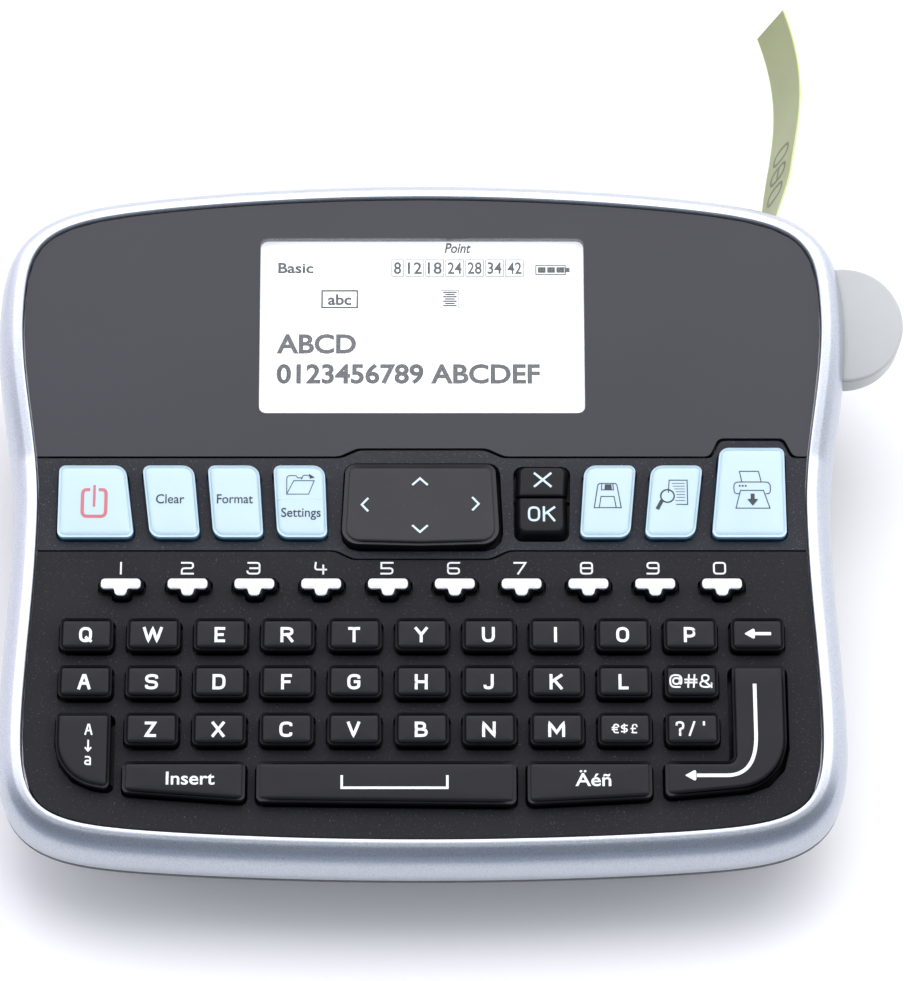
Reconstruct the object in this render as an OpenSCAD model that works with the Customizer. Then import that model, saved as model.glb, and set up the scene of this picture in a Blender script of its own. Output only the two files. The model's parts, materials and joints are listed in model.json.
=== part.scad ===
// Desktop label maker: wedge-shaped body, QWERTY keys, display, tape cassette,
// printing drive and a push-button tape cutter.
// Millimetres, +X right, +Y to the rear, +Z up. The origin is the centre of the
// middle foot's lower face, so the label maker stands on the plane z = 0.

/* [Top face] */
// Front edge of the dark top face, measured forwards from the origin
face_front = 65.4; // [58:0.1:75]
// Rear edge of the dark top face, measured rearwards from the origin
face_rear = 67.1; // [62:0.1:75]
// Half width of the top face at its waist
waist_half = 77; // [76.5:0.1:90]
// Half width of the top face at the rear bulge
rear_half = 81.1; // [80:0.1:92]
// Half width of the top face at the front
front_half = 78.9; // [78:0.1:91]
// Squareness of the corners of the outline
corner_power = 12; // [9:1:16]
// Radius of the bowed rear edge
rear_bow_r = 530; // [420:10:900]
// Radius of the bowed front edge
front_bow_r = 850; // [600:10:1500]
// Place of the fold between the key face and the display face
fold_y = 13.5; // [12:0.1:15]
// Height of the fold above the table
fold_z = 38.6; // [38:0.1:45]
// Tilt of the key face
key_tilt = 9; // [7:0.1:10]
// Tilt of the display face
display_tilt = 14; // [12:0.1:18]

/* [Shells] */
// Width of the silver rail from the face edge to the outside
rail_w = 5.4; // [4.6:0.1:7]
// Height of the rail's crest above the face
rail_crest = 0.7; // [0.3:0.1:1.5]
// Wall thickness of both shells
wall = 2.2; // [1.8:0.1:2.6]
// Floor thickness of the bottom shell
floor_t = 2; // [1.8:0.1:2.4]
// Height of the floor's underside above the table
floor_z = 1.6; // [1.2:0.1:2.5]
// Height of the parting line at the front
part_front_z = 18.3; // [17.5:0.1:20]
// Height of the parting line at the rear
part_rear_z = 30; // [27:0.1:31]
// How far the bottom shell draws in at the floor
base_inset = 5; // [4:0.1:6]
// Gap between pieces that lie beside each other
gap = 0.25; // [0.15:0.01:0.4]

/* [Panels] */
// Thickness of the three face panels
panel_t = 2.2; // [1.8:0.1:2.4]
// Width of the grooves between the panels
groove = 0.35; // [0.3:0.05:1]
// Length of the function strip along the slope
strip_len = 20; // [19.8:0.1:21]
// Width of the display window
lcd_w = 66; // [60:0.5:69]
// Height of the display window
lcd_h = 37.4; // [32:0.1:38]
// Distance of the window's lower edge from the fold
lcd_from_fold = 9.4; // [9:0.1:12]
// Corner radius of the display window
lcd_r = 1.4; // [0.5:0.1:2]

/* [Keys] */
// Distance between key columns
pitch_u = 13.26; // [13:0.01:13.4]
// Distance between key rows
pitch_v = 9.8; // [9.7:0.01:9.9]
// Width of a letter key at its foot
key_w = 10.7; // [9.5:0.1:10.8]
// Depth of a letter key at its foot
key_d = 6.8; // [6:0.1:7]
// Height of the keys above the panel
key_h = 2.6; // [1.6:0.1:3.2]
// How much narrower each side of a key is at its top
key_flare = 0.45; // [0.2:0.05:0.6]
// Corner radius of the letter keys
key_r = 1.2; // [0.8:0.1:1.6]
// Gap between a key and its hole
key_gap = 0.3; // [0.2:0.05:0.35]
// Width of the lip that holds a key under the panel
key_lip = 0.55; // [0.4:0.05:0.6]
// Thickness of that lip
lip_t = 0.8; // [0.6:0.1:1]
// Travel of a key
key_travel = 1; // [0.6:0.1:1.2]
// Height of the function keys
function_h = 1.8; // [1.2:0.1:2.4]
// Centre of the top letter row, measured down the slope from the fold
top_row_v = 38.4; // [38:0.1:38.8]
// Front edge of the bottom row, measured down the slope from the fold
key_front_v = 73.8; // [73:0.1:74.2]

/* [Cutter] */
// Radius of the round cutter button
button_r = 12; // [11:0.1:13]
// Thickness of the cutter button
button_t = 8; // [6:0.1:9]
// Depth of the button's upper face below the display face
button_drop = 5; // [4.5:0.1:6]
// How far the cutting line lies behind the button's centre
cut_behind = 8.8; // [8:0.1:9.4]
// Travel of the cutter button
cut_travel = 6; // [3:0.1:6.5]
// Distance from the platen's axis to the cutting line
platen_to_cut = 11.3; // [10.5:0.1:12]

/* [Tape and drive] */
// Width of the label tape
tape_w = 12; // [9:1:12]
// Thickness of the label tape
tape_t = 0.3; // [0.2:0.05:0.4]
// Height of the tape's lower edge
tape_z = 12; // [11:0.1:13]
// Place of the tape's path beside the platen
tape_x = 74.5; // [74:0.1:75]
// Place of the platen axis
platen_y = 40; // [39.5:0.1:40.5]
// Radius of the rubber platen
platen_r = 4.5; // [3.5:0.1:5]
// Place of the motor axis from the right-left centre
motor_x = 53; // [52:0.1:54]
// Place of the motor axis from the front-rear centre
motor_y = 14; // [13.5:0.1:14.5]
// Radius of the motor can
motor_r = 7.8; // [6:0.1:8]
// Gear module
gear_m = 0.6; // [0.58:0.01:0.62]
// Teeth of the motor pinion
pinion_teeth = 12; // [11:1:13]
// Teeth of the idler gear
idler_teeth = 34; // [33:1:36]
// Teeth of the platen gear
platen_teeth = 26; // [25:1:28]
// Teeth of the ribbon gear
ribbon_teeth = 16; // [14:1:18]
// Thickness of the gears
gear_t = 2.4; // [1.6:0.1:2.6]
// Height of the drive plate's underside
plate_z = 28; // [27.8:0.1:28.2]
// Thickness of the drive plate
plate_t = 1.2; // [1:0.1:1.4]
// Radial clearance of the turning shafts
shaft_gap = 0.05; // [0.03:0.01:0.08]

/* [Cassette and battery] */
// Left side of the tape cassette
cassette_left = 21; // [15:0.5:22]
// Right side of the tape cassette
cassette_right = 55; // [54:0.1:55.5]
// Front of the tape cassette
cassette_front = 23; // [22.6:0.1:25]
// Rear of the tape cassette
cassette_rear = 52; // [50:0.1:52]
// Underside of the tape cassette
cassette_z = 6; // [5.5:0.1:8]
// Height of the tape cassette
cassette_h = 20; // [19:0.1:20.5]
// Wall thickness of the tape cassette
cassette_wall = 1.2; // [0.8:0.1:1.6]
// Radius of the tape roll
roll_r = 13; // [8:0.5:13]
// Left side of the battery compartment
battery_left = 69; // [64:0.5:70]
// Right side of the battery compartment
battery_right = 28; // [27:0.5:35]
// Front of the battery compartment
battery_front = 15; // [12:0.5:20]
// Rear of the battery compartment
battery_rear = 46.5; // [44:0.5:46.5]
// Height of the battery pack
battery_h = 17; // [12:0.5:20]
// Thickness of the two doors under the body
door_t = 1.7; // [1.5:0.1:1.8]

/* [Feet and screws] */
// Radius of the rubber feet
foot_r = 5; // [4:0.5:5]
// Thread radius of the housing screws
screw_r = 1.45; // [1.2:0.05:1.6]
// Radius of the screw bosses
boss_r = 3.2; // [3:0.1:3.6]

/* [Hidden] */

far = 300;              // longer than the body in every direction
hair = 0.05;            // smallest gap, between pieces that only rest together
quarter = 22;           // outline points in a quarter turn
ring_n = 4 * quarter;
crowd = 1.6;            // crowds the outline points towards the corners
arc_n = 3;              // steps in a rounded key corner
waist_y = 1.6;
rear_straight = 20;     // the sides run straight again near the ends
front_straight = 13;
rear_span = face_rear - waist_y - rear_straight;
front_span = face_front + waist_y - front_straight;
mid_y = (face_rear - face_front) / 2;
half_len = (face_rear + face_front) / 2;
$fn = 48;

// ---------------------------------------------------------------- outline
function side(x) = x < 0 ? -1 : 1;
function ease(t) = (1 - cos(180 * min(1, max(0, t)))) / 2;
function face_z(y) = fold_z + (y - fold_y) * tan(y < fold_y ? key_tilt : display_tilt);
function half_width(y) = y > waist_y
    ? waist_half + (rear_half - waist_half) * ease((y - waist_y) / rear_span)
    : waist_half + (front_half - waist_half) * ease((waist_y - y) / front_span);
function turn_at(i) =
    let (q = floor(i / quarter), t = 2 * (i / quarter - q) - 1)
    90 * q + 45 * (1 + side(t) * pow(abs(t), crowd));
function edge_point(i) =
    let (a = turn_at(i),
         r = pow(pow(abs(cos(a)), corner_power) + pow(abs(sin(a)), corner_power),
                 -1 / corner_power),
         y = mid_y + half_len * r * sin(a),
         x = half_width(y) * r * cos(a))
    [x, y - r * sin(a) * x * x / (2 * (a < 180 ? rear_bow_r : front_bow_r))];
EDGE = [for (i = [0 : ring_n - 1]) edge_point(i)];
function edge_normal(i) =
    let (t = EDGE[(i + 1) % ring_n] - EDGE[(i + ring_n - 1) % ring_n])
    [t[1], -t[0]] / norm(t);
NORMAL = [for (i = [0 : ring_n - 1]) edge_normal(i)];
function rim(i, d) = EDGE[i] + d * NORMAL[i];
function outline(d) = [for (i = [0 : ring_n - 1]) rim(i, d)];

part_slope = (part_rear_z - part_front_z) / (face_rear + face_front);
function part_z(y) = part_front_z + (y + face_front) * part_slope;

// Closed skins over rings of points: triangles between neighbouring rings
function ring_faces(a, b, n) = [for (i = [0 : n - 1])
    each [[a * n + i, a * n + (i + 1) % n, b * n + (i + 1) % n],
          [a * n + i, b * n + (i + 1) % n, b * n + i]]];
// A flat end: a fan of triangles from the point hub to a ring that starts at a
function fan_up(a, n, hub) = [for (i = [0 : n - 1]) [hub, a + (i + 1) % n, a + i]];
function fan_down(a, n, hub) = [for (i = [0 : n - 1]) [hub, a + i, a + (i + 1) % n]];

// ---------------------------------------------------------------- face frames
module on_face(tilt) {
    translate([0, fold_y, fold_z]) rotate([tilt, 0, 0]) children();
}
module on_keys() { on_face(key_tilt) children(); }
module on_display() { on_face(display_tilt) children(); }
// A slab of the face between two places along the slope and two depths
module slab(v0, v1, w0, w1) {
    translate([-far, v0, w0]) cube([2 * far, v1 - v0, w1 - w0]);
}
// Keeps what lies inside the face outline, with upright sides
module inside_edge(d) {
    intersection() {
        linear_extrude(far) polygon(outline(d));
        children();
    }
}

// ---------------------------------------------------------------- key outlines
function unit(v) = v / norm(v);
function cross2(a, b) = a[0] * b[1] - a[1] * b[0];
function wrap(a) = a > 180 ? a - 360 : a < -180 ? a + 360 : a;
// Points of the arc of radius r that rounds the corner p between a and b
function corner_arc(a, p, b, r) =
    let (u = unit(a - p), v = unit(b - p),
         half = acos(min(1, max(-1, u * v))) / 2,
         c = p + unit(u + v) * r / sin(half),
         from = p + u * r / tan(half) - c,
         to = p + v * r / tan(half) - c,
         start = atan2(from[1], from[0]),
         swing = wrap(atan2(to[1], to[0]) - start))
    [for (k = [0 : arc_n])
        c + r * [cos(start + swing * k / arc_n), sin(start + swing * k / arc_n)]];
function at(list, i) = list[(i + len(list)) % len(list)];
function rounded(corners, radii) = [for (i = [0 : len(corners) - 1])
    each corner_arc(at(corners, i - 1), corners[i], at(corners, i + 1), radii[i])];
function middle(points) = [for (p = points) 1] * points / len(points);
// The corners moved inwards by d; a negative d moves them outwards
function moved(corners, d) = [for (i = [0 : len(corners) - 1])
    let (u = unit(at(corners, i - 1) - corners[i]),
         v = unit(at(corners, i + 1) - corners[i]),
         half = acos(min(1, max(-1, u * v))) / 2,
         turn = cross2(v, u) > 0 ? 1 : -1)
    corners[i] + turn * unit(u + v) * d / sin(half)];
// Rounding that follows a moved corner: it shrinks outside and grows inside
function moved_radii(corners, radii, d) = [for (i = [0 : len(corners) - 1])
    let (u = at(corners, i - 1) - corners[i], v = at(corners, i + 1) - corners[i])
    max(0.15, radii[i] - d * (cross2(v, u) > 0 ? 1 : -1))];
function key_outline(key, d) = rounded(moved(key[0], d), moved_radii(key[0], key[1], d));
function box_key(u, v, w, d, r) =
    [[[u - w / 2, v - d / 2], [u + w / 2, v - d / 2],
      [u + w / 2, v + d / 2], [u - w / 2, v + d / 2]], [r, r, r, r]];

// Letter keys stand in eleven columns; digits stand between them
function column(i) = (i - 5) * pitch_u;
function row_v(r) = -top_row_v - r * pitch_v;
function letter(i, r) = box_key(column(i), row_v(r), key_w, key_d, key_r);
first_column = [0, 0, 1];
last_column = [9, 9, 9];

// Digit keys are a bar with a stem below it
digit_v = -26.5;
digit_bar_w = 9;
digit_bar_d = 2.7;
digit_stem_w = 3.6;
digit_stem_d = 1.5;
function digit_key_shape(i) =
    let (u = (i - 4.5) * pitch_u, b = digit_bar_w / 2, s = digit_stem_w / 2,
         v1 = digit_v - digit_bar_d, v2 = v1 - digit_stem_d)
    [[[u - b, v1], [u - s, v1], [u - s, v2], [u + s, v2], [u + s, v1],
      [u + b, v1], [u + b, digit_v], [u - b, digit_v]],
     [0.7, 0.5, 0.8, 0.8, 0.5, 0.7, 0.7, 0.7]];

// Function keys fan out from the centre: a side at u leans by fan
fan = 0.0022;
function_top_v = -2.3;
function_bottom_v = -17.8;
print_top_v = 1.5;
fan_small = 1.4;
fan_low = 2.4;
fan_top = 2.6;
end_top = 2.1;
function leaned(u, v) = u * (1 + fan * (v - function_top_v));
// The two corners that point along the lean are the rounder ones
function fan_key(left, right, top, lean_left, lean_right, low_r = fan_low, top_r = fan_top) =
    [[[lean_left ? leaned(left, function_bottom_v) : left, function_bottom_v],
      [lean_right ? leaned(right, function_bottom_v) : right, function_bottom_v],
      [right, top], [left, top]],
     left < 0 ? [low_r, fan_small, top_r, fan_small] : [fan_small, low_r, fan_small, top_r]];
function_w = 10.5;
nav_top_half = 15.3;
nav_flare = 0.8;
nav_bottom_half = nav_top_half + nav_flare;
// Each key stands beside its neighbour, from the nav pad outwards
settings_gap = 4.15;
format_gap = 2.7;
clear_gap = 2.6;
power_gap = 3.15;
pair_side_gap = 3.35;
save_gap = 3.4;
preview_gap = 2.9;
print_gap = 3.35;
settings_u = -nav_top_half - settings_gap - function_w / 2;
format_u = settings_u - function_w - format_gap;
clear_u = format_u - function_w - clear_gap;
power_right = clear_u - function_w / 2 - power_gap;
pair_u = nav_top_half + pair_side_gap + function_w / 2;
save_u = pair_u + function_w + save_gap;
preview_u = save_u + function_w + preview_gap;
print_left = preview_u + function_w / 2 + print_gap;
end_margin = 4.1;       // from the waist's edge to the outer side of an end key
print_right = waist_half - end_margin;
function middle_key(u) =
    fan_key(u - function_w / 2, u + function_w / 2, function_top_v, true, true);
power_shape = fan_key(-print_right, power_right, function_top_v, false, true, fan_small);
clear_shape = middle_key(clear_u);
format_shape = middle_key(format_u);
settings_shape = middle_key(settings_u);
save_shape = middle_key(save_u);
preview_shape = middle_key(preview_u);
print_shape = fan_key(print_left, print_right, print_top_v, true, false, fan_small, end_top);
pair_left = pair_u - function_w / 2;
pair_right = pair_u + function_w / 2;
pair_lean = 0.4;
pair_split_v = -9.1;
pair_gap = 0.6;
cancel_shape = [[[pair_left, pair_split_v + pair_gap / 2],
    [pair_right, pair_split_v + pair_gap / 2],
    [pair_right + pair_lean, function_top_v], [pair_left + pair_lean, function_top_v]],
    [0.4, 0.4, 1.4, 1.4]];
ok_shape = [[[pair_left, function_bottom_v], [pair_right, function_bottom_v],
    [pair_right, pair_split_v - pair_gap / 2], [pair_left, pair_split_v - pair_gap / 2]],
    [1.4, 1.4, 0.4, 0.4]];
nav_top_v = -1.6;
nav_bottom_v = -19.8;
nav_shape = [[[-nav_bottom_half, nav_bottom_v], [nav_bottom_half, nav_bottom_v],
    [nav_top_half, nav_top_v], [-nav_top_half, nav_top_v]], [3.4, 3.4, 2, 2]];
nav_rear_h = 0.8;
nav_front_h = 3;
nav_lift = 0.3;         // room above the flange, for tipping 2.5 degrees each way
nav_gap = 0.35;
nav_axis_v = (nav_top_v + nav_bottom_v) / 2;
nav_flange = 0.9;
nav_ridge_half = 10;

// The bottom row's front edge is bowed like the body's
key_bow_r = 625;
function front_v(u) = -key_front_v + u * u / (2 * key_bow_r);
low_drop = 0.15;
side_wider = 0.2;
inner_wider = 0.4;
enter_wider = 0.3;
low_top_v = row_v(3) + key_d / 2 - low_drop;
side_u = column(10) + key_w / 2 + side_wider;
inner_u = column(10) - key_w / 2 - inner_wider;
enter_left = column(9) - key_w / 2 - enter_wider;
sweep_r = 9;
function low_key(left, right) = [[[left, front_v(left)], [right, front_v(right)],
    [right, low_top_v], [left, low_top_v]], [key_r, key_r, key_r, key_r]];
low_gap = 2;
space_left = -32.4;
space_right = 18.5;
enter_gap = 2.39;
insert_shape = low_key(column(1) - key_w / 2 - side_wider, space_left - low_gap);
space_shape = low_key(space_left, space_right);
accent_shape = low_key(space_right + low_gap, enter_left - enter_gap);
caps_rise = [1.2, 0.4];
caps_shape = [[[-side_u, front_v(side_u) + caps_rise[0]],
    [-inner_u, front_v(inner_u) + caps_rise[1]],
    [-inner_u, row_v(2) + key_d / 2], [-side_u, row_v(2) + key_d / 2]],
    [sweep_r, key_r, key_r, key_r]];
enter_shape = [[[enter_left, front_v(enter_left)], [side_u, front_v(side_u)],
    [side_u, row_v(1) + key_d / 2], [inner_u, row_v(1) + key_d / 2],
    [inner_u, low_top_v], [enter_left, low_top_v]],
    [key_r, sweep_r, key_r, key_r, key_r, key_r]];
enter_heart = [(side_u + inner_u) / 2, (low_top_v + front_v(inner_u)) / 2];
LETTERS = [for (r = [0 : 2]) for (i = [first_column[r] : last_column[r]]) letter(i, r)];
BOARD_KEYS = concat(LETTERS, [for (i = [0 : 9]) digit_key_shape(i)],
    [insert_shape, space_shape, accent_shape, caps_shape, enter_shape, letter(10, 0)]);
STRIP_KEYS = [power_shape, clear_shape, format_shape, settings_shape, save_shape,
    preview_shape, print_shape];

// ---------------------------------------------------------------- depths
lip_room = 0.3;
lip_top = -panel_t - lip_room;
lip_bottom = lip_top - lip_t;
mat_t = 1;
dome_gap = 0.1;
dome_top = lip_bottom - key_travel - dome_gap;
dome_h = 0.6;
mat_top = dome_top - dome_h;
board_t = 1.6;
board_gap = 0.6;
board_top = mat_top - mat_t - board_gap;
ledge_w = 2.4;
ledge_top = panel_t / cos(display_tilt) + hair;
ledge_t = 1.6;
mat_inset = ledge_w + 0.8;

// ---------------------------------------------------------------- places
cut_y = platen_y + platen_to_cut;
cut_room = 0.6;
button_y = cut_y - cut_behind;
button_v = (button_y - fold_y) / cos(display_tilt);
button_x = half_width(button_y) + rail_w;
spring_r = 1.4;
spring_wire = 0.3;
spring_turns = 5;
spring_len = 8;
spring_x = button_x - button_r - spring_len - 2 * spring_wire - hair;
seat_t = 1.4;
seat_w = 8;
seat_below = 1;
sink = 0.2;             // how far a rib or boss is sunk into its wall
platen_x = tape_x - tape_t / 2 - gap - platen_r;
boss_inset = 9;
boss_split = 6;
boss_cap = 2;           // closed end of the screw's pilot hole
rib_t = 1.8;
screw_places = [0, quarter - 5, quarter + 5, 2 * quarter, 2 * quarter + 9,
    4 * quarter - 9];
pilot_gap = 0.05;
screw_room = 0.25;
head_room = 0.3;
head_r = 2.7;
head_t = 1.8;
counterbore_z = floor_z + 2.6;
cross_w = 2.8;
cross_t = 0.6;
thread_in = 4;
foot_places = [[0, 0], [-58, -48], [58, -48], [-54, 53], [61.5, 50]];
foot_t = floor_z;
foot_seat = 0.8;
foot_gap = 0.15;

// Gear train: the idler sits where its two centre distances meet
function pitch_r(teeth) = gear_m * teeth / 2;
motor_at = [motor_x, motor_y];
platen_at = [platen_x, platen_y];
reach_a = pitch_r(pinion_teeth) + pitch_r(idler_teeth);
reach_b = pitch_r(platen_teeth) + pitch_r(idler_teeth);
span = norm(platen_at - motor_at);
along = (reach_a * reach_a - reach_b * reach_b + span * span) / (2 * span);
across = sqrt(max(0, reach_a * reach_a - along * along));
way = unit(platen_at - motor_at);
idler_at = motor_at + along * way + across * [-way[1], way[0]];
ribbon_turn = 142;
ribbon_at = idler_at + (pitch_r(ribbon_teeth) + pitch_r(idler_teeth))
    * [cos(ribbon_turn), sin(ribbon_turn)];
gear_z = plate_z + plate_t + 0.6;
backlash = 0.06;
pressure = 20;
flank_n = 3;
function involute(a) = (tan(a) - a * PI / 180) * 180 / PI;
function half_tooth(teeth, r) =
    90 / teeth - backlash / pitch_r(teeth) * 90 / PI + involute(pressure)
    - involute(acos(min(1, pitch_r(teeth) * cos(pressure) / r)));
function tooth_radius(teeth, k) =
    let (root = pitch_r(teeth) - 1.25 * gear_m, tip = pitch_r(teeth) + gear_m)
    root + (tip - root) * k / flank_n;
function gear_points(teeth) = [for (t = [0 : teeth - 1])
    each concat(
        [for (k = [0 : flank_n])
            let (r = tooth_radius(teeth, k), a = 360 * t / teeth - half_tooth(teeth, r))
            r * [cos(a), sin(a)]],
        [for (k = [flank_n : -1 : 0])
            let (r = tooth_radius(teeth, k), a = 360 * t / teeth + half_tooth(teeth, r))
            r * [cos(a), sin(a)]])];
// Turn of a gear that meshes with the idler, whose first tooth points along +X
function mesh_turn(place, teeth) =
    let (line = atan2(place[1] - idler_at[1], place[0] - idler_at[0]))
    line + 180 + 180 / teeth + line * idler_teeth / teeth;

// Label strip: its lower edge leaves the cutter, passes the slot and curls
strip_start = cut_y + cut_room;
slot_y = face_rear - 1.1;
STRIP_CURVE = [for (p = [[0, 0], [-6, 32], [8.3, 39.5], [-0.2, 70.6]]) [tape_x, slot_y] + p];
strip_lean = 24.4;
strip_n = 18;
lean_n = 7;
function bezier(p, t) = pow(1 - t, 3) * p[0] + 3 * t * pow(1 - t, 2) * p[1]
    + 3 * t * t * (1 - t) * p[2] + pow(t, 3) * p[3];
function bezier_way(p, t) = unit(pow(1 - t, 2) * (p[1] - p[0])
    + 2 * t * (1 - t) * (p[2] - p[1]) + t * t * (p[3] - p[2]));
function strip_ring(p, way, lean) =
    let (n = [way[1], -way[0]] * tape_t / 2, w = tape_w * [sin(lean), cos(lean)])
    [[p[0] - n[0], p[1] - n[1], tape_z], [p[0] + n[0], p[1] + n[1], tape_z],
     [p[0] + n[0] + w[0], p[1] + n[1], tape_z + w[1]],
     [p[0] - n[0] + w[0], p[1] - n[1], tape_z + w[1]]];
function strip_points() = concat(
    strip_ring([tape_x, strip_start], [0, 1], 0),
    [for (k = [0 : strip_n])
        each strip_ring(bezier(STRIP_CURVE, k / strip_n), bezier_way(STRIP_CURVE, k / strip_n),
            strip_lean * ease(k / lean_n))]);
slot_w = 2.4;
slot_h = tape_w + 2;
slot_reach = 9;

// Doors under the body
door_gap = 0.3;
door_z = floor_z + 0.15;
hinge_r = 0.85;
hinge_z = door_z + hinge_r;
hinge_y = cassette_front + hinge_r;
pin_r = 0.6;
pin_len = 2;
lug_t = 3.2;
door_rib_t = 2;
door_rib_in = 6;
door_rib_len = 12;
tongue = 1;
tongue_t = 0.6;

// ---------------------------------------------------------------- shells
// Section of the top shell: offset from the face edge, share of the face's
// height in the point's height (the rest is the parting line's), and rise
rail_section = [
    [0, 1, 0], [0.1, 1, rail_crest * 0.75], [0.5, 1, rail_crest],
    [rail_w * 0.42, 1, rail_crest * 0.45], [rail_w * 0.68, 1, -0.9],
    [rail_w * 0.88, 1, -2.7], [rail_w * 0.98, 1, -4.9], [rail_w, 1, -6.4], [rail_w - 0.2, 0, 0],
    [rail_w - wall, 0, 0], [rail_w - wall, 1, -6.6],
    [-ledge_w, 1, -ledge_top - ledge_t], [-ledge_w, 1, -ledge_top], [0, 1, -ledge_top]];
function rail_ring(s) = [for (i = [0 : ring_n - 1])
    let (p = rim(i, s[0]), y = s[0] < 0 ? p[1] : EDGE[i][1])
    [p[0], p[1], s[1] * face_z(y) + (1 - s[1]) * part_z(y) + s[2]]];
module rail_shell() {
    sections = len(rail_section);
    polyhedron([for (s = rail_section) each rail_ring(s)],
        [for (j = [0 : sections - 1]) each ring_faces(j, (j + 1) % sections, ring_n)]);
}
// Section of the bottom shell: offset and share of the way up to the parting line
// and, last, how far it is tucked in under the front
outer_section = [[rail_w - 0.8, 1, 0], [rail_w - 2, 0.62, 1.7], [0.6, 0.28, 2.2],
    [-2.6, 0.08, 1], [-base_inset, 0, 0]];
inner_section = [[-base_inset - 1, 0, 0], [-2.6 - wall, 0.1, 1], [0.6 - wall, 0.3, 2.2],
    [rail_w - 2 - wall, 0.64, 1.7], [rail_w - 0.8 - wall, 1, 0]];
tuck_y = -25;
tuck_run = 30;
function tuck(y) = ease((tuck_y - y) / tuck_run);
function bowl_ring(s, z0) = [for (i = [0 : ring_n - 1])
    let (p = rim(i, s[0] - s[2] * tuck(EDGE[i][1])), top = part_z(EDGE[i][1]) - hair)
    [p[0], p[1], z0 + s[1] * (top - z0)]];
module bowl() {
    rings = concat([for (s = inner_section) bowl_ring(s, floor_z + floor_t)],
                   [for (s = outer_section) bowl_ring(s, floor_z)]);
    last = len(rings) - 1;
    points = len(rings) * ring_n;
    polyhedron(concat([for (r = rings) each r],
                      [[0, mid_y, floor_z + floor_t], [0, mid_y, floor_z]]),
        concat([for (j = [0 : last - 1]) each ring_faces(j, j + 1, ring_n)],
               fan_up(0, ring_n, points), fan_down(last * ring_n, ring_n, points + 1)));
}
function boss_place(i) = rim(i, -boss_inset);
function boss_split_z(i) = part_z(EDGE[i][1]) - boss_split;
function boss_top_z(i) = face_z(EDGE[i][1]) + mat_top - mat_t - 0.7;
module button_slot(grow) {
    on_display() translate([button_x - cut_travel, button_v, -button_drop - button_t - grow])
        linear_extrude(button_t + 2 * grow) {
            circle(button_r + grow);
            translate([0, -button_r - grow]) square([far, 2 * (button_r + grow)]);
        }
}
module top_housing() {
    color("lightsteelblue") difference() {
        union() {
            rail_shell();
            for (i = screw_places) {
                low = boss_split_z(i);
                top = boss_top_z(i);
                translate([boss_place(i)[0], boss_place(i)[1], low])
                    cylinder(r = boss_r, h = top - low);
                translate([boss_place(i)[0], boss_place(i)[1], part_z(EDGE[i][1]) + 0.3])
                    rotate([0, 0, atan2(NORMAL[i][1], NORMAL[i][0])])
                        translate([0, -rib_t / 2, 0])
                            cube([boss_inset + rail_w - wall + 2 * sink, rib_t,
                                  top - part_z(EDGE[i][1]) - 0.3]);
            }
        }
        for (i = screw_places) translate([boss_place(i)[0], boss_place(i)[1], 0])
            cylinder(r = screw_r + pilot_gap, h = boss_top_z(i) - boss_cap);
        button_slot(0.4);
    }
}

module cassette_opening(grow, z0, z1) {
    translate([-cassette_left - grow, cassette_front - grow, z0])
        cube([cassette_left + cassette_right + 2 * grow,
              cassette_rear - cassette_front + 2 * grow, z1 - z0]);
}
module battery_opening(grow, left, z0, z1) {
    translate([-left, battery_front - grow, z0])
        cube([left - battery_right + grow, battery_rear - battery_front + 2 * grow, z1 - z0]);
}
jack_x = -58;
jack_z = 18;
jack_r = 3.6;
jack_len = 12;
jack_gap = 0.1;
jack_mouth_y = face_rear - 1.5;
post_places = [[motor_x - 12, 8], [motor_x + 16, 12], [motor_x + 8, cut_y - 1.3]];
post_r = 2.2;
lug_depth = 4.8;
lug_h = 4;
pin_room = 0.3;
bay_sink = 1;
module bottom_housing() {
    color("dimgray") difference() {
        union() {
            bowl();
            for (i = screw_places)
                translate([boss_place(i)[0], boss_place(i)[1], floor_z + bay_sink])
                    cylinder(r = boss_r, h = boss_split_z(i) - hair - floor_z - bay_sink);
            for (p = post_places) translate([p[0], p[1], floor_z + bay_sink])
                cylinder(r = post_r, h = plate_z - floor_z - bay_sink);
            translate([battery_wall_x, battery_front, floor_z + bay_sink])
                cube([battery_wall_t, battery_rear - battery_front, battery_h]);
            for (x = [-cassette_left - lug_t - door_gap, cassette_right + door_gap])
                translate([x, hinge_y - lug_depth / 2, floor_z]) cube([lug_t, lug_depth, lug_h]);
        }
        for (i = screw_places) translate([boss_place(i)[0], boss_place(i)[1], 0]) {
            cylinder(r = screw_r + screw_room, h = far);
            cylinder(r = head_r + head_room, h = counterbore_z);
        }
        cassette_opening(door_gap, 0, floor_z + floor_t + 1);
        translate([-cassette_left - pin_len - pin_room, hinge_y, hinge_z]) rotate([0, 90, 0])
            cylinder(r = pin_r + shaft_gap,
                     h = cassette_left + cassette_right + 2 * (pin_len + pin_room));
        battery_opening(door_gap, far / 2, 0, floor_z + floor_t + 0.1);
        battery_opening(door_gap + tongue, far / 2, door_z + (door_t - tongue_t) / 2 - 0.15,
            door_z + (door_t + tongue_t) / 2 + 0.15);
        translate([tape_x - slot_w / 2, slot_y - slot_reach, tape_z - (slot_h - tape_w) / 2])
            cube([slot_w, 2 * slot_reach, slot_h]);
        translate([jack_x, jack_mouth_y - jack_len, jack_z]) rotate([-90, 0, 0])
            cylinder(r = jack_r + jack_gap, h = far);
        for (p = foot_places) translate([p[0], p[1], 0])
            cylinder(r = foot_r + foot_gap, h = floor_z + foot_seat);
    }
}

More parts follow.
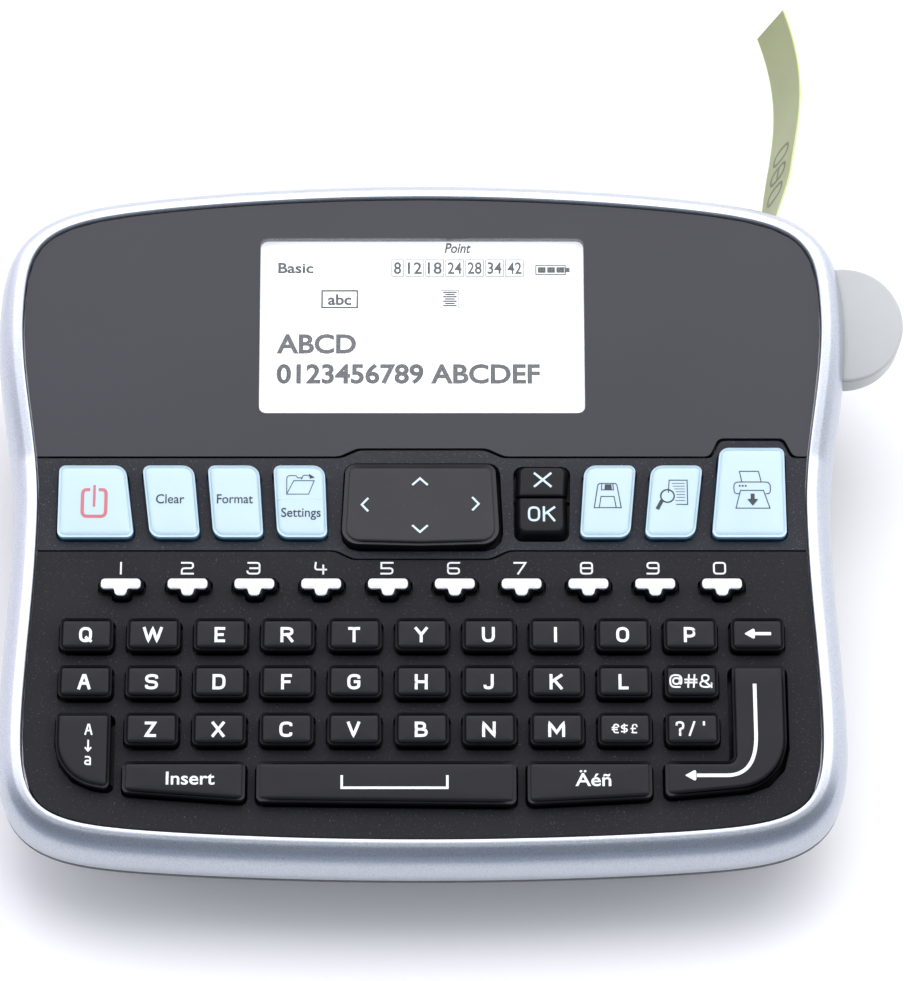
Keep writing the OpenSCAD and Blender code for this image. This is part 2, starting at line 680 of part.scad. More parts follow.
// ---------------------------------------------------------------- panels
// The strip's edges step outwards beside the pad and the print key
pad_margin = 1.1;
low_margin = 1.3;
step_run = 3.6;
pad_rise = 1.7;
low_rise = -1.8;
print_margin = 1.6;
print_run = 1.8;
step_r = 4;
print_r = 1.5;
far_r = 1;
print_rise = 3.8;
function bump(from, to, v, run, rise) =
    let (along = run * side(to - from))
    [[from, v], [from + along, v + rise], [to - along, v + rise], [to, v]];
module strip_area(grow) {
    pad = nav_top_half + pad_margin + grow;
    low = nav_bottom_half + low_margin + grow;
    front = -strip_len - grow;
    steps = [step_r, step_r, step_r, step_r];
    polygon(rounded(concat(
        [[-far, front]], bump(-low, low, front, step_run, low_rise), [[far, front], [far, grow]],
        bump(print_right + print_margin + grow, print_left - print_margin - grow, grow,
             print_run, print_rise),
        bump(pad, -pad, grow, step_run, pad_rise), [[-far, grow]]),
        concat([far_r], steps, [far_r, far_r], [print_r, print_r, print_r, print_r], steps,
               [far_r])));
}
module key_holes(keys, d) {
    for (k = keys) translate([0, 0, -panel_t - 1]) linear_extrude(panel_t + 2)
        polygon(key_outline(k, -d));
}
module window(d) {
    polygon(key_outline(box_key(0, lcd_from_fold + lcd_h / 2, lcd_w, lcd_h, lcd_r), d));
}
module display_panel() {
    color("#4a4a50") difference() {
        inside_edge(-gap) on_display() slab(groove / 2, far, -panel_t, 0);
        on_display() translate([0, 0, -panel_t - 1]) linear_extrude(panel_t + 2)
            strip_area(groove / 2 + 0.1);
        on_display() translate([0, 0, -panel_t - 1]) linear_extrude(panel_t + 2) window(0);
    }
    // Rib that the cutter's return spring leans on
    color("#4a4a50") on_display()
        translate([spring_x - seat_t - hair, button_v - seat_w / 2, -button_drop - inner_t - seat_below])
            cube([seat_t, seat_w, button_drop + inner_t + seat_below - panel_t + sink]);
}
module function_strip() {
    color("#343438") inside_edge(-gap) on_keys() difference() {
        translate([0, 0, -panel_t]) linear_extrude(panel_t) strip_area(-groove / 2);
        key_holes(STRIP_KEYS, key_gap);
        key_holes([nav_shape], nav_gap);
        pair = [[[pair_left, function_bottom_v], [pair_right, function_bottom_v],
            [pair_right + pair_lean, function_top_v], [pair_left, function_top_v]],
            [1.4, 1.4, 1.4, 1.4]];
        key_holes([pair], key_gap);
    }
}
module keyboard_panel() {
    color("#2b2b2f") inside_edge(-gap) on_keys() difference() {
        slab(-far, -strip_len - groove / 2, -panel_t, 0);
        translate([0, 0, -panel_t - 1]) linear_extrude(panel_t + 2) strip_area(groove / 2);
        key_holes(BOARD_KEYS, key_gap);
    }
}
lens_t = 1.2;
lens_gap = 0.1;
lens_drop = 0.2;
module display_lens() {
    color("#e8eef0", 0.5) on_display() translate([0, 0, -lens_t - lens_drop])
        linear_extrude(lens_t) window(lens_gap);
}
lcd_margin = 3;
lcd_t = 3.6;
lcd_top = -panel_t - 0.1;
module lcd_module() {
    color("whitesmoke") on_display()
        translate([-lcd_w / 2 - lcd_margin, lcd_from_fold - lcd_margin, lcd_top - lcd_t])
            cube([lcd_w + 2 * lcd_margin, lcd_h + 2 * lcd_margin, lcd_t]);
}

// ---------------------------------------------------------------- keys
// Cap with sloping sides; slope raises its front edge. Every side of the
// outline is seen from the point heart.
module cap(key, h, slope = 0, top_v = 0, heart = undef) {
    foot = key_outline(key, 0);
    crown = key_outline(key, key_flare);
    n = len(foot);
    c = is_undef(heart) ? middle(foot) : heart;
    polyhedron(concat([for (p = crown) [p[0], p[1], h + slope * (top_v - p[1])]],
                      [for (p = foot) [p[0], p[1], 0]],
                      [[c[0], c[1], h + slope * (top_v - c[1])], [c[0], c[1], 0]]),
        concat(ring_faces(0, 1, n), fan_up(0, n, 2 * n), fan_down(n, n, 2 * n + 1)));
}
module key_body(key, h, heart = undef) {
    cap(key, h, heart = heart);
    translate([0, 0, lip_top - 0.01]) linear_extrude(0.01 - lip_top) polygon(key_outline(key, 0));
    translate([0, 0, lip_bottom]) linear_extrude(lip_t)
        polygon(key_outline(key, -key_gap - key_lip));
}
module board_key(key, heart = undef) {
    color("#232326") on_keys() key_body(key, key_h, heart);
}
module blue_key(key) { color("lightcyan") on_keys() key_body(key, function_h); }
module digit_key(i) {
    color("white") on_keys() {
        key = digit_key_shape(i);
        u = (i - 4.5) * pitch_u;
        cap(key, key_h, heart = [u, digit_v - digit_bar_d / 2]);
        translate([0, 0, lip_top - 0.01]) linear_extrude(0.01 - lip_top)
            polygon(key_outline(key, 0));
        translate([u - digit_bar_w / 2 - key_gap - key_lip,
                   digit_v - digit_bar_d - digit_stem_d - key_gap - key_lip, lip_bottom])
            cube([digit_bar_w + 2 * (key_gap + key_lip),
                  digit_bar_d + digit_stem_d + 2 * (key_gap + key_lip), lip_t]);
    }
}
module letter_row(r) {
    color("#232326") on_keys() {
        for (i = [first_column[r] : last_column[r]]) cap(letter(i, r), key_h);
        for (i = [first_column[r] : last_column[r]])
            translate([0, 0, lip_top - 0.01]) linear_extrude(0.01 - lip_top)
                polygon(key_outline(letter(i, r), 0));
        left = column(first_column[r]) - key_w / 2 - key_gap - key_lip;
        right = column(last_column[r]) + key_w / 2 + key_gap + key_lip;
        translate([left, row_v(r) - key_d / 2 - key_gap - key_lip, lip_bottom])
            cube([right - left, key_d + 2 * (key_gap + key_lip), lip_t]);
    }
}
// The two stacked keys share one opening, so their lips stay off their meeting side
module stacked_key(key, low_lip) {
    color("#232326") on_keys() {
        cap(key, function_h);
        translate([0, 0, lip_top - 0.01]) linear_extrude(0.01 - lip_top)
            polygon(key_outline(key, 0));
        low = low_lip ? function_bottom_v - key_gap - key_lip : pair_split_v + pair_gap / 2;
        high = low_lip ? pair_split_v - pair_gap / 2 : function_top_v + key_gap + key_lip;
        translate([pair_left - key_gap - key_lip, low, lip_bottom])
            cube([pair_right - pair_left + 2 * (key_gap + key_lip), high - low, lip_t]);
    }
}
// The pad rocks on a round ridge that lies on the key mat
module nav_pad() {
    flange_top = lip_top - nav_lift;
    ridge_w = flange_top - lip_t;
    color("#232326") on_keys() {
        cap(nav_shape, nav_rear_h, (nav_front_h - nav_rear_h) / (nav_top_v - nav_bottom_v),
            nav_top_v);
        translate([0, 0, flange_top - 0.01]) linear_extrude(0.01 - flange_top)
            polygon(key_outline(nav_shape, 0.2));
        translate([0, 0, ridge_w]) linear_extrude(lip_t)
            polygon(key_outline(nav_shape, -nav_flange));
        translate([-nav_ridge_half, nav_axis_v, ridge_w]) rotate([0, 90, 0])
            cylinder(r = ridge_w - mat_top - hair, h = 2 * nav_ridge_half);
    }
}

// ---------------------------------------------------------------- inner pieces
mat_top_v = -0.6;
mat_bottom_v = -76.6;
pinion_room = 6;
mat_pinion_v = -5.4;
module dome(key) {
    mid = middle(key[0]);
    translate([mid[0], mid[1], mat_top - 0.01]) cylinder(r = 1.8, h = dome_h + 0.01);
}
module keypad_mat() {
    color("gray") inside_edge(-mat_inset) on_keys() {
        difference() {
            slab(mat_bottom_v, mat_top_v, mat_top - mat_t, mat_top);
            translate([motor_x - pinion_room, mat_pinion_v, -far / 2])
                cube([2 * pinion_room, far, far]);
        }
        for (k = concat(LETTERS, STRIP_KEYS, [insert_shape, space_shape, accent_shape,
                        caps_shape, enter_shape, letter(10, 0), cancel_shape, ok_shape])) dome(k);
        for (i = [0 : 9])
            translate([(i - 4.5) * pitch_u, digit_v - digit_bar_d / 2, mat_top - 0.01])
                cylinder(r = 1.2, h = dome_h + 0.01);
    }
}
board_rear_v = -12.5;
board_inset = 5;
CHIPS = [[[-14, -44], [14, 14, 1.6]], [[12, -40], [9, 6, 1.2]],
    [[-40, -24], [10, 6, 4]], [[30, -24], [16, 5, 4]]];
module main_board() {
    color("darkgreen") difference() {
        inside_edge(-board_inset) on_keys() union() {
            slab(mat_bottom_v, board_rear_v, board_top - board_t, board_top);
            for (c = CHIPS) translate([c[0][0], c[0][1], board_top - board_t - c[1][2]])
                cube(c[1] + [0, 0, sink]);
        }
        for (i = screw_places) translate(boss_place(i))
            rotate([0, 0, atan2(NORMAL[i][1], NORMAL[i][0])]) linear_extrude(far) {
                circle(boss_r + 1);
                translate([0, -boss_r - 1]) square([far, 2 * (boss_r + 1)]);
            }
    }
}
// Flat cable from the display down to the board
cable_w = 20;
cable_t = 0.3;
CABLE_BENDS = [[0, 0], [6, -1.2]];      // from the board's end
CABLE_RISE = [[-5, -2.05], [4, -1.55]]; // from the display's end
module display_cable() {
    top = [fold_y + lcd_from_fold + 1, face_z(fold_y + lcd_from_fold + 1) + lcd_top - lcd_t];
    low_v = board_rear_v - 1.5;
    low = [fold_y + low_v * cos(key_tilt),
           fold_z + low_v * sin(key_tilt) + board_top - board_t - 0.55];
    way = concat([for (p = CABLE_BENDS) low + p], [for (p = CABLE_RISE) top + p]);
    last = len(way) - 1;
    color("orange") translate([-cable_w / 2, 0, 0]) rotate([90, 0, 90]) linear_extrude(cable_w)
        polygon(concat(way, [for (i = [0 : last]) way[last - i] + [0, cable_t]]));
}
battery_z = floor_z + floor_t + 0.5;
battery_gap = 0.6;
contact_len = 2;
contact_t = 0.4;
contact_w = 2.4;
contact_h = 8;
contact_low = 3;
contact_pitch = 6;
battery_end = 2.6;
battery_wall_x = -battery_right - battery_gap + hair + contact_len + hair;
battery_wall_t = 1.4;
module battery_pack() {
    color("navy") translate([-battery_left + battery_end, battery_front + battery_gap, battery_z])
        cube([battery_left - battery_right - battery_end - battery_gap,
              battery_rear - battery_front - 2 * battery_gap, battery_h]);
}
module battery_contacts() {
    color("gold") for (y = [1, 2, 3] * contact_pitch + [1, 1, 1] * (battery_front + 2))
        translate([-battery_right - battery_gap + hair, y, battery_z + contact_low]) {
            cube([contact_t, contact_w, contact_h]);
            cube([contact_len, contact_w, contact_t]);
        }
}
jack_bore_r = 2.75;
jack_pin_r = 1;
jack_back = 2;
jack_pin_short = 1;
module charging_jack() {
    color("black") translate([jack_x, jack_mouth_y - jack_len, jack_z]) rotate([-90, 0, 0])
        difference() {
            cylinder(r = jack_r, h = jack_len);
            translate([0, 0, jack_back]) difference() {
                cylinder(r = jack_bore_r, h = jack_len);
                cylinder(r = jack_pin_r, h = jack_len - jack_back - jack_pin_short);
            }
        }
}
module rubber_feet() {
    color("#202020") for (p = foot_places) translate([p[0], p[1], 0])
        cylinder(r = foot_r, h = foot_t + foot_seat - hair);
}
module housing_screws() {
    color("silver") for (i = screw_places)
        translate([boss_place(i)[0], boss_place(i)[1], counterbore_z - head_t - hair])
            difference() {
                union() {
                    cylinder(r = head_r, h = head_t);
                    cylinder(r = screw_r,
                             h = boss_split_z(i) + thread_in - counterbore_z + head_t);
                }
                for (a = [0, 90]) rotate([0, 0, a]) translate([-cross_w / 2, -cross_t / 2, -1])
                    cube([cross_w, cross_t, 1 + head_t / 2]);
            }
}

// ---------------------------------------------------------------- drive
head_t_x = 1.2;
head_len = 7;
head_over = 0.5;
bracket_x = tape_x + tape_t / 2 + gap + 0.1 + head_t_x + 0.1;
bracket_t = 0.8;
bracket_half = 6;
low_plate_z = 9.2;
low_plate_in = 5;
shaft_r = 1.2;
shaft_end = 0.4;
platen_over = 1;
plate_front = 5;
plate_edge = 4;
plate_short = 2.5;      // keeps the plate off the blade
spindle_r = 2;
motor_hole_r = 2;
motor_shaft_r = 1;
module printer_frame() {
    left = post_places[0][0] - plate_edge;
    right = bracket_x + bracket_t;
    color("lightgray") difference() {
        union() {
            translate([left, plate_front, plate_z])
                cube([right - left, cut_y - plate_short - plate_front, plate_t]);
            translate([left, plate_front, plate_z])
                cube([post_places[2][0] + post_r + 1 - left,
                      post_places[2][1] + post_r - plate_front, plate_t]);
            translate([bracket_x, platen_y - bracket_half, low_plate_z])
                cube([bracket_t, 2 * bracket_half, plate_z - low_plate_z + plate_t]);
            translate([platen_x - low_plate_in, platen_y - bracket_half, low_plate_z])
                cube([right - platen_x + low_plate_in, 2 * bracket_half, plate_t]);
            translate([idler_at[0], idler_at[1], plate_z])
                cylinder(r = shaft_r, h = gear_z + gear_t - plate_z + 0.3);
        }
        translate([platen_x, platen_y, 0]) cylinder(r = shaft_r + shaft_gap, h = far);
        translate([ribbon_at[0], ribbon_at[1], 0]) cylinder(r = spindle_r + shaft_gap, h = far);
        translate([motor_x, motor_y, 0]) cylinder(r = motor_hole_r, h = far);
    }
}
module print_head() {
    color("dimgray")
        translate([bracket_x - 0.1 - head_t_x, platen_y - head_len / 2, tape_z - head_over])
            cube([head_t_x, head_len, tape_w + 2 * head_over]);
}
motor_len = 17;
shaft_in = 4.5;
module drive_motor() {
    color("silver") translate([motor_x, motor_y, plate_z - hair - motor_len]) difference() {
        cylinder(r = motor_r, h = motor_len);
        translate([0, 0, motor_len - shaft_in - pin_room])
            cylinder(r = motor_shaft_r + shaft_gap, h = far);
    }
}
module motor_pinion() {
    color("goldenrod") translate([motor_x, motor_y, 0]) {
        translate([0, 0, gear_z]) rotate([0, 0, mesh_turn(motor_at, pinion_teeth)])
            linear_extrude(gear_t) polygon(gear_points(pinion_teeth));
        translate([0, 0, plate_z - hair - shaft_in])
            cylinder(r = motor_shaft_r, h = gear_z - plate_z + shaft_in + gear_t / 2);
    }
}
module idler_gear() {
    color("ivory") translate([idler_at[0], idler_at[1], gear_z]) difference() {
        linear_extrude(gear_t) polygon(gear_points(idler_teeth));
        translate([0, 0, -1]) cylinder(r = shaft_r + shaft_gap, h = gear_t + 2);
    }
}
module platen_gear() {
    color("ivory") translate([platen_x, platen_y, gear_z])
        rotate([0, 0, mesh_turn(platen_at, platen_teeth)]) difference() {
            linear_extrude(gear_t) polygon(gear_points(platen_teeth));
            translate([0, 0, -1]) cylinder(r = shaft_r, h = gear_t + 2);
        }
}
module platen_roller() {
    color("#303030") translate([platen_x, platen_y, 0]) {
        translate([0, 0, tape_z - platen_over]) cylinder(r = platen_r, h = tape_w + 2 * platen_over);
        translate([0, 0, low_plate_z - shaft_end])
            cylinder(r = shaft_r, h = gear_z + gear_t - low_plate_z + shaft_end);
    }
}
spindle_up = 4;
spline_r = 2.9;
spline_t = 1;
module ribbon_spindle() {
    color("ivory") translate([ribbon_at[0], ribbon_at[1], 0]) {
        translate([0, 0, gear_z]) rotate([0, 0, mesh_turn(ribbon_at, ribbon_teeth)])
            linear_extrude(gear_t) polygon(gear_points(ribbon_teeth));
        translate([0, 0, cassette_z + spindle_up]) {
            cylinder(r = spindle_r, h = gear_z - cassette_z - spindle_up + sink / 2);
            for (a = [0, 60, 120]) rotate([0, 0, a])
                translate([-spline_r, -spline_t / 2, 0]) cube([2 * spline_r, spline_t, tape_w]);
        }
    }
}
roll_inset = 17;
roll_x = -cassette_left + roll_inset;
hub_r = 3;
mouth_w = 2;
roll_y = (cassette_front + cassette_rear) / 2;
module cassette_case() {
    w = cassette_wall;
    color("#3c3c40") {
        difference() {
            cassette_opening(0, cassette_z, cassette_z + cassette_h);
            translate([-cassette_left + w, cassette_front + w, cassette_z + w])
                cube([cassette_left + cassette_right - 2 * w,
                      cassette_rear - cassette_front - 2 * w, cassette_h - 2 * w]);
            translate([ribbon_at[0], ribbon_at[1], cassette_z + w + 1])
                cylinder(r = spline_r + 0.7, h = cassette_h);
            translate([cassette_right - w - 1, tape_mouth_y - mouth_w / 2, tape_z - 1])
                cube([w + 2, mouth_w, tape_w + 2]);
        }
        translate([roll_x, roll_y, cassette_z + w / 2])
            cylinder(r = hub_r, h = cassette_h - w);
    }
}
module tape_spool() {
    color("whitesmoke") translate([roll_x, roll_y, tape_z - 0.5]) difference() {
        cylinder(r = roll_r, h = tape_w + 1);
        translate([0, 0, -1]) cylinder(r = hub_r + shaft_gap, h = tape_w + 3);
    }
}
mouth_inset = 6;
tape_mouth_y = cassette_front + mouth_inset;
tape_bend = 2.5;
tape_in = 4;
module label_strip() {
    x0 = cassette_right - tape_in;
    n = strip_n + 2;
    points = strip_points();
    color("#c8ccA0") {
        translate([0, 0, tape_z]) linear_extrude(tape_w) union() {
            translate([x0, tape_mouth_y - tape_t / 2])
                square([tape_x - tape_bend - x0, tape_t]);
            translate([tape_x - tape_bend, tape_mouth_y + tape_bend])
                rotate([0, 0, -90]) quarter_band(tape_bend);
            translate([tape_x - tape_t / 2, tape_mouth_y + tape_bend])
                square([tape_t, cut_y - cut_room - tape_mouth_y - tape_bend]);
        }
        polyhedron(points, concat([for (j = [0 : n - 2]) each ring_faces(j, j + 1, 4)],
            [[3, 2, 1], [3, 1, 0]], [let (a = (n - 1) * 4) [a, a + 1, a + 2],
             let (a = (n - 1) * 4) [a, a + 2, a + 3]]));
    }
}
module quarter_band(r) {
    intersection() {
        difference() {
            circle(r + tape_t / 2);
            circle(r - tape_t / 2);
        }
        square(2 * r);
    }
}

// ---------------------------------------------------------------- doors
module battery_cover() {
    color("dimgray") intersection() {
        union() {
            battery_opening(-0.05, far / 2, door_z, door_z + door_t);
            translate([-far / 2, battery_front - tongue, door_z + (door_t - tongue_t) / 2])
                cube([far / 2 - battery_right - 1, battery_rear - battery_front + 2 * tongue,
                      tongue_t]);
        }
        cover_bounds();
    }
}
cover_proud = 0.8;
module cover_bounds() {
    linear_extrude(far) polygon(outline(-base_inset + cover_proud));
}
module cassette_door() {
    inset = 0.1;
    color("dimgray") {
        translate([-cassette_left + inset, hinge_y, door_z])
            cube([cassette_left + cassette_right - 2 * inset, cassette_rear - hinge_y,
                  2 * hinge_r]);
        translate([-cassette_left + inset, hinge_y, hinge_z]) rotate([0, 90, 0])
            cylinder(r = hinge_r, h = cassette_left + cassette_right - 2 * inset);
        translate([-cassette_left - pin_len, hinge_y, hinge_z]) rotate([0, 90, 0])
            cylinder(r = pin_r, h = cassette_left + cassette_right + 2 * pin_len);
        for (x = [-cassette_left + door_rib_in, cassette_right - door_rib_in - door_rib_t])
            translate([x, roll_y - door_rib_len / 2, door_z])
                cube([door_rib_t, door_rib_len, cassette_z - door_z - 0.2]);
    }
}

// ---------------------------------------------------------------- cutter
arm_x = 77.6;
arm_y = cut_y - 1.5;
arm_w = 2.4;
arm_d = 3;
blade_top = tape_z + tape_w + 8;
inner_t = button_t / 2;   // the disc is thinner where it runs inside the body
inner_from = 1.5;
arm_top = face_z(arm_y) - button_drop - inner_t;
blade_edge = tape_x + 0.9;
blade_t = 0.5;
blade_w = 2.2;
module cutter_button() {
    color("lightgray") difference() {
        union() {
            on_display() translate([button_x, button_v, -button_drop - button_t])
                difference() {
                    cylinder(r = button_r, h = button_t);
                    translate([-inner_from - far, -far / 2, -1])
                        cube([far, far, button_t - inner_t + 1]);
                }
            translate([arm_x, arm_y, tape_z + tape_w + 1.5])
                cube([arm_w, arm_d, arm_top - tape_z - tape_w + 0.5]);
        }
        translate([blade_edge - 1, cut_y - blade_t / 2 - 0.02, 0])
            cube([far, blade_t + 0.04, blade_top + 0.02]);
    }
}
module cutter_blade() {
    clamped = arm_x + arm_w - 0.6;
    color("silver") translate([0, cut_y + blade_t / 2, 0]) rotate([90, 0, 0])
        linear_extrude(blade_t) polygon([[blade_edge, tape_z - 1], [blade_w + blade_edge, tape_z - 1],
            [blade_w + blade_edge, tape_z + tape_w + 2], [clamped, tape_z + tape_w + 3],
            [clamped, blade_top], [blade_edge, blade_top]]);
}
// Return spring: a coil whose axis lies along X, inside the button's inner side
function coil_ring(k, sides, steps) =
    let (a = 360 * spring_turns * k / steps, x = spring_len * k / steps)
    [for (s = [0 : sides - 1])
        let (b = 360 * s / sides, r = spring_r + spring_wire * cos(b))
        [x + spring_wire * sin(b), r * cos(a), r * sin(a)]];
module cutter_spring() {
    sides = 6;
    steps = 12 * spring_turns;
    color("silver") on_display()
        translate([spring_x + spring_wire, button_v,
                   -button_drop - inner_t / 2])
            polyhedron(concat([for (k = [0 : steps]) each coil_ring(k, sides, steps)],
                              [[0, spring_r, 0], [spring_len, spring_r, 0]]),
                concat([for (k = [0 : steps - 1]) each ring_faces(k, k + 1, sides)],
                       fan_up(0, sides, (steps + 1) * sides),
                       fan_down(steps * sides, sides, (steps + 1) * sides + 1)));
}

bottom_housing();
top_housing();
display_panel();
function_strip();
keyboard_panel();
display_lens();
lcd_module();
rubber_feet();
housing_screws();
charging_jack();
keypad_mat();
main_board();
display_cable();
battery_pack();
battery_contacts();
printer_frame();
print_head();
drive_motor();
cassette_case();
label_strip();
battery_cover();
cassette_door();
cutter_button();
cutter_blade();
cutter_spring();
platen_roller();
platen_gear();
idler_gear();
motor_pinion();
ribbon_spindle();
tape_spool();
blue_key(power_shape);  // power_key
blue_key(clear_shape);  // clear_key
blue_key(format_shape);  // format_key
blue_key(settings_shape);  // settings_key
nav_pad();
stacked_key(cancel_shape, false);  // cancel_key
stacked_key(ok_shape, true);  // ok_key
blue_key(save_shape);  // save_key
blue_key(preview_shape);  // preview_key
blue_key(print_shape);  // print_key
digit_key(0);  // digit_1_key
digit_key(1);  // digit_2_key
digit_key(2);  // digit_3_key
digit_key(3);  // digit_4_key
digit_key(4);  // digit_5_key
digit_key(5);  // digit_6_key
digit_key(6);  // digit_7_key
digit_key(7);  // digit_8_key
digit_key(8);  // digit_9_key
digit_key(9);  // digit_0_key
letter_row(0);  // top_letter_row
letter_row(1);  // home_letter_row
letter_row(2);  // bottom_letter_row
board_key(caps_shape);  // capitals_key
board_key(insert_shape);  // insert_key
board_key(space_shape);  // space_key
board_key(accent_shape);  // accent_key
board_key(enter_shape, enter_heart);  // enter_key
board_key(letter(10, 0));  // backspace_key
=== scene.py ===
import math
import bpy
import numpy as np
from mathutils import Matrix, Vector
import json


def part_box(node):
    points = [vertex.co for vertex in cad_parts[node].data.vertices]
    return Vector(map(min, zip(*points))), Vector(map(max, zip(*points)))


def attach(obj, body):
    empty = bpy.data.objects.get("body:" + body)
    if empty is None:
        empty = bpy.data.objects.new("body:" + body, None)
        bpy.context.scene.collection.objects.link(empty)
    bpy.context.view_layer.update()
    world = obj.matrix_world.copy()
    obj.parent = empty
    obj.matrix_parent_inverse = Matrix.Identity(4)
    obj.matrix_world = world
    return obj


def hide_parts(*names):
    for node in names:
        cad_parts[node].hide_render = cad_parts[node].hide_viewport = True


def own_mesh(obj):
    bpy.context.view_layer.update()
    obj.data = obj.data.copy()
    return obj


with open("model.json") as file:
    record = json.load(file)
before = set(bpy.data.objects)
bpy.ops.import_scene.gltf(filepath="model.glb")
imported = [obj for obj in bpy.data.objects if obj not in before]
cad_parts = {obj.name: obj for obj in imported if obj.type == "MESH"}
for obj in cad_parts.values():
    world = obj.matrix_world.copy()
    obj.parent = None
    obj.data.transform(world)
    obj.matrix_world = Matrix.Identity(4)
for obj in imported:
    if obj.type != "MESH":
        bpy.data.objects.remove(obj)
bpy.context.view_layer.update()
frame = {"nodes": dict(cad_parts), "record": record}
rad = math.radians
shown = []                                    # every new piece, for the closing count
# lengths are in millimetres and angles in degrees, here and in the other dictionaries of sizes
case = dict(faceFront=65.4, faceRear=67.1, waistHalf=77.0, rearHalf=81.1, frontHalf=78.9, cornerPower=12.0,
            rearBow=530.0, frontBow=850.0, waistY=1.6, foldY=13.5, foldZ=38.6, keyTilt=9.0, displayTilt=14.0,
            partFront=18.3, partRear=30.0, railW=5.4, railCrest=0.7, wall=2.2, floorZ=1.6, floorT=2.0,
            baseInset=5.0, panelT=2.2, ledgeW=2.4, ledgeT=1.6, tuckY=-25.0, tuckRun=30.0, around=616)
nav = dict(rear=0.5, front=3.0, top=-1.6, low=-19.8, edge=0.45, flare=0.85, skirt=-2.82, flangeLow=-3.6,
           flangeHigh=-2.8, ridgeV=-10.7, ridgeR=1.35, ridgeHalf=10.0)
navSlope = (nav["front"] - nav["rear"]) / (nav["top"] - nav["low"])      # the pad's face rises to the front


class Wire:                                   # one socket of a tree, usable in sums
    def __init__(self, tree, socket):
        self.tree, self.socket = tree, socket
    def sum(self, operation, *values):
        return self.tree.node("ShaderNodeMath", {"operation": operation}, dict(enumerate(values)))
    def __add__(self, other): return self.sum("ADD", self, other)
    def __radd__(self, other): return self.sum("ADD", other, self)
    def __sub__(self, other): return self.sum("SUBTRACT", self, other)
    def __rsub__(self, other): return self.sum("SUBTRACT", other, self)
    def __mul__(self, other): return self.sum("MULTIPLY", self, other)
    def __rmul__(self, other): return self.sum("MULTIPLY", other, self)
    def __abs__(self): return self.sum("ABSOLUTE", self)
    def rise(self, low, high):                # 0 at low, 1 at high, eased between
        return self.tree.node("ShaderNodeMapRange", {"interpolation_type": "SMOOTHSTEP"}, {0: self, 1: low, 2: high})


class Tree:                                   # a node tree that grows by one node at a time
    def __init__(self, tree):
        self.nodes, self.links = tree.nodes, tree.links
    def node(self, kind, settings={}, values={}, out=0):      # settings first, then the sockets
        made = self.nodes.new(kind)
        for key, value in settings.items():
            setattr(made, key, value)
        for key, value in values.items():
            self.feed(made.inputs[key], value)
        return Wire(self, made.outputs[out])
    def feed(self, socket, value):
        if isinstance(value, Wire):
            self.links.new(value.socket, socket)
        else:
            socket.default_value = (*value, 1) if socket.type == "RGBA" and len(value) == 3 else value
    def mix(self, share, low, high):                          # colours from low to high
        return self.node("ShaderNodeMix", {"data_type": "RGBA"}, {0: share, 6: low, 7: high}, out=2)
    def apart(self, wire):                                    # the three parts of a place or direction
        return [self.node("ShaderNodeSeparateXYZ", {}, {0: wire}, out=i) for i in range(3)]


class Finish(Tree):                           # one material; name, fixed shader values
    def __init__(self, name, **fixed):
        self.material = bpy.data.materials.new(name)
        self.material.use_nodes = True
        super().__init__(self.material.node_tree)
        self.shader = next(n for n in self.nodes if n.type == "BSDF_PRINCIPLED")
        for key, value in fixed.items():
            self.shader.inputs[key.replace("_", " ")].default_value = value
    def place(self):                                          # the point on the object, in metres
        return self.node("ShaderNodeTexCoord", out=3)
    def noise(self, scale, detail=2.0, rough=0.5, place=None):
        return self.node("ShaderNodeTexNoise", {}, {"Vector": place or self.place(), "Scale": scale,
                                                    "Detail": detail, "Roughness": rough})
    def slopeDepths(self):                                    # up the key slope and out of it, in mm
        x, y, z = self.apart(self.place())
        c, s = math.cos(rad(case["keyTilt"])), math.sin(rad(case["keyTilt"]))
        y, z = (y - case["foldY"] / 1000) * 1000, (z - case["foldZ"] / 1000) * 1000
        return y * c + z * s, z * c - y * s
    def bump(self, height, distance):
        self.wear(Normal=self.node("ShaderNodeBump", {}, {"Height": height, "Distance": distance}))
    def wear(self, **varying):
        for key, value in varying.items():
            self.feed(self.shader.inputs[key.replace("_", " ")], value)


def mouldedFinish(name, low, high, roughness, grain=4000, height=0.00002, **fixed):
    made = Finish(name, **fixed)              # plastic: two close tones, a fine cast grain
    cloud, fine = made.noise(90, 3), made.noise(grain, 2, 0.6)
    made.wear(Base_Color=made.mix(cloud, low, high), Roughness=fine * 0.12 + (roughness - 0.06))
    made.bump(fine, height)
    return made.material


def metalFinish(name, low, high, roughness, stretch=(1, 1, 1)):
    made = Finish(name, Metallic=1.0)         # drawn or rolled metal: noise stretched along the grain
    line = made.node("ShaderNodeMapping", {}, {"Vector": made.place(), "Scale": stretch})
    grain = made.noise(900, 3, 0.6, line)
    made.wear(Base_Color=made.mix(grain, low, high), Roughness=grain * 0.2 + (roughness - 0.1))
    made.bump(grain, 0.00001)
    return made.material


def silverFinish():                           # blue-grey metallic paint: fine flakes under a thin coat
    made = Finish("silver paint", Coat_Weight=0.2, Coat_Roughness=0.1)
    flake, cloud = made.noise(5600, 1, 0.6), made.noise(35, 2)
    made.wear(Base_Color=made.mix(flake.rise(0.3, 0.7), (0.43, 0.46, 0.50), (0.57, 0.60, 0.65)),
              Metallic=cloud * 0.1 + 0.78, Roughness=flake * 0.12 + 0.24)
    made.bump(flake, 0.000004)
    return made.material


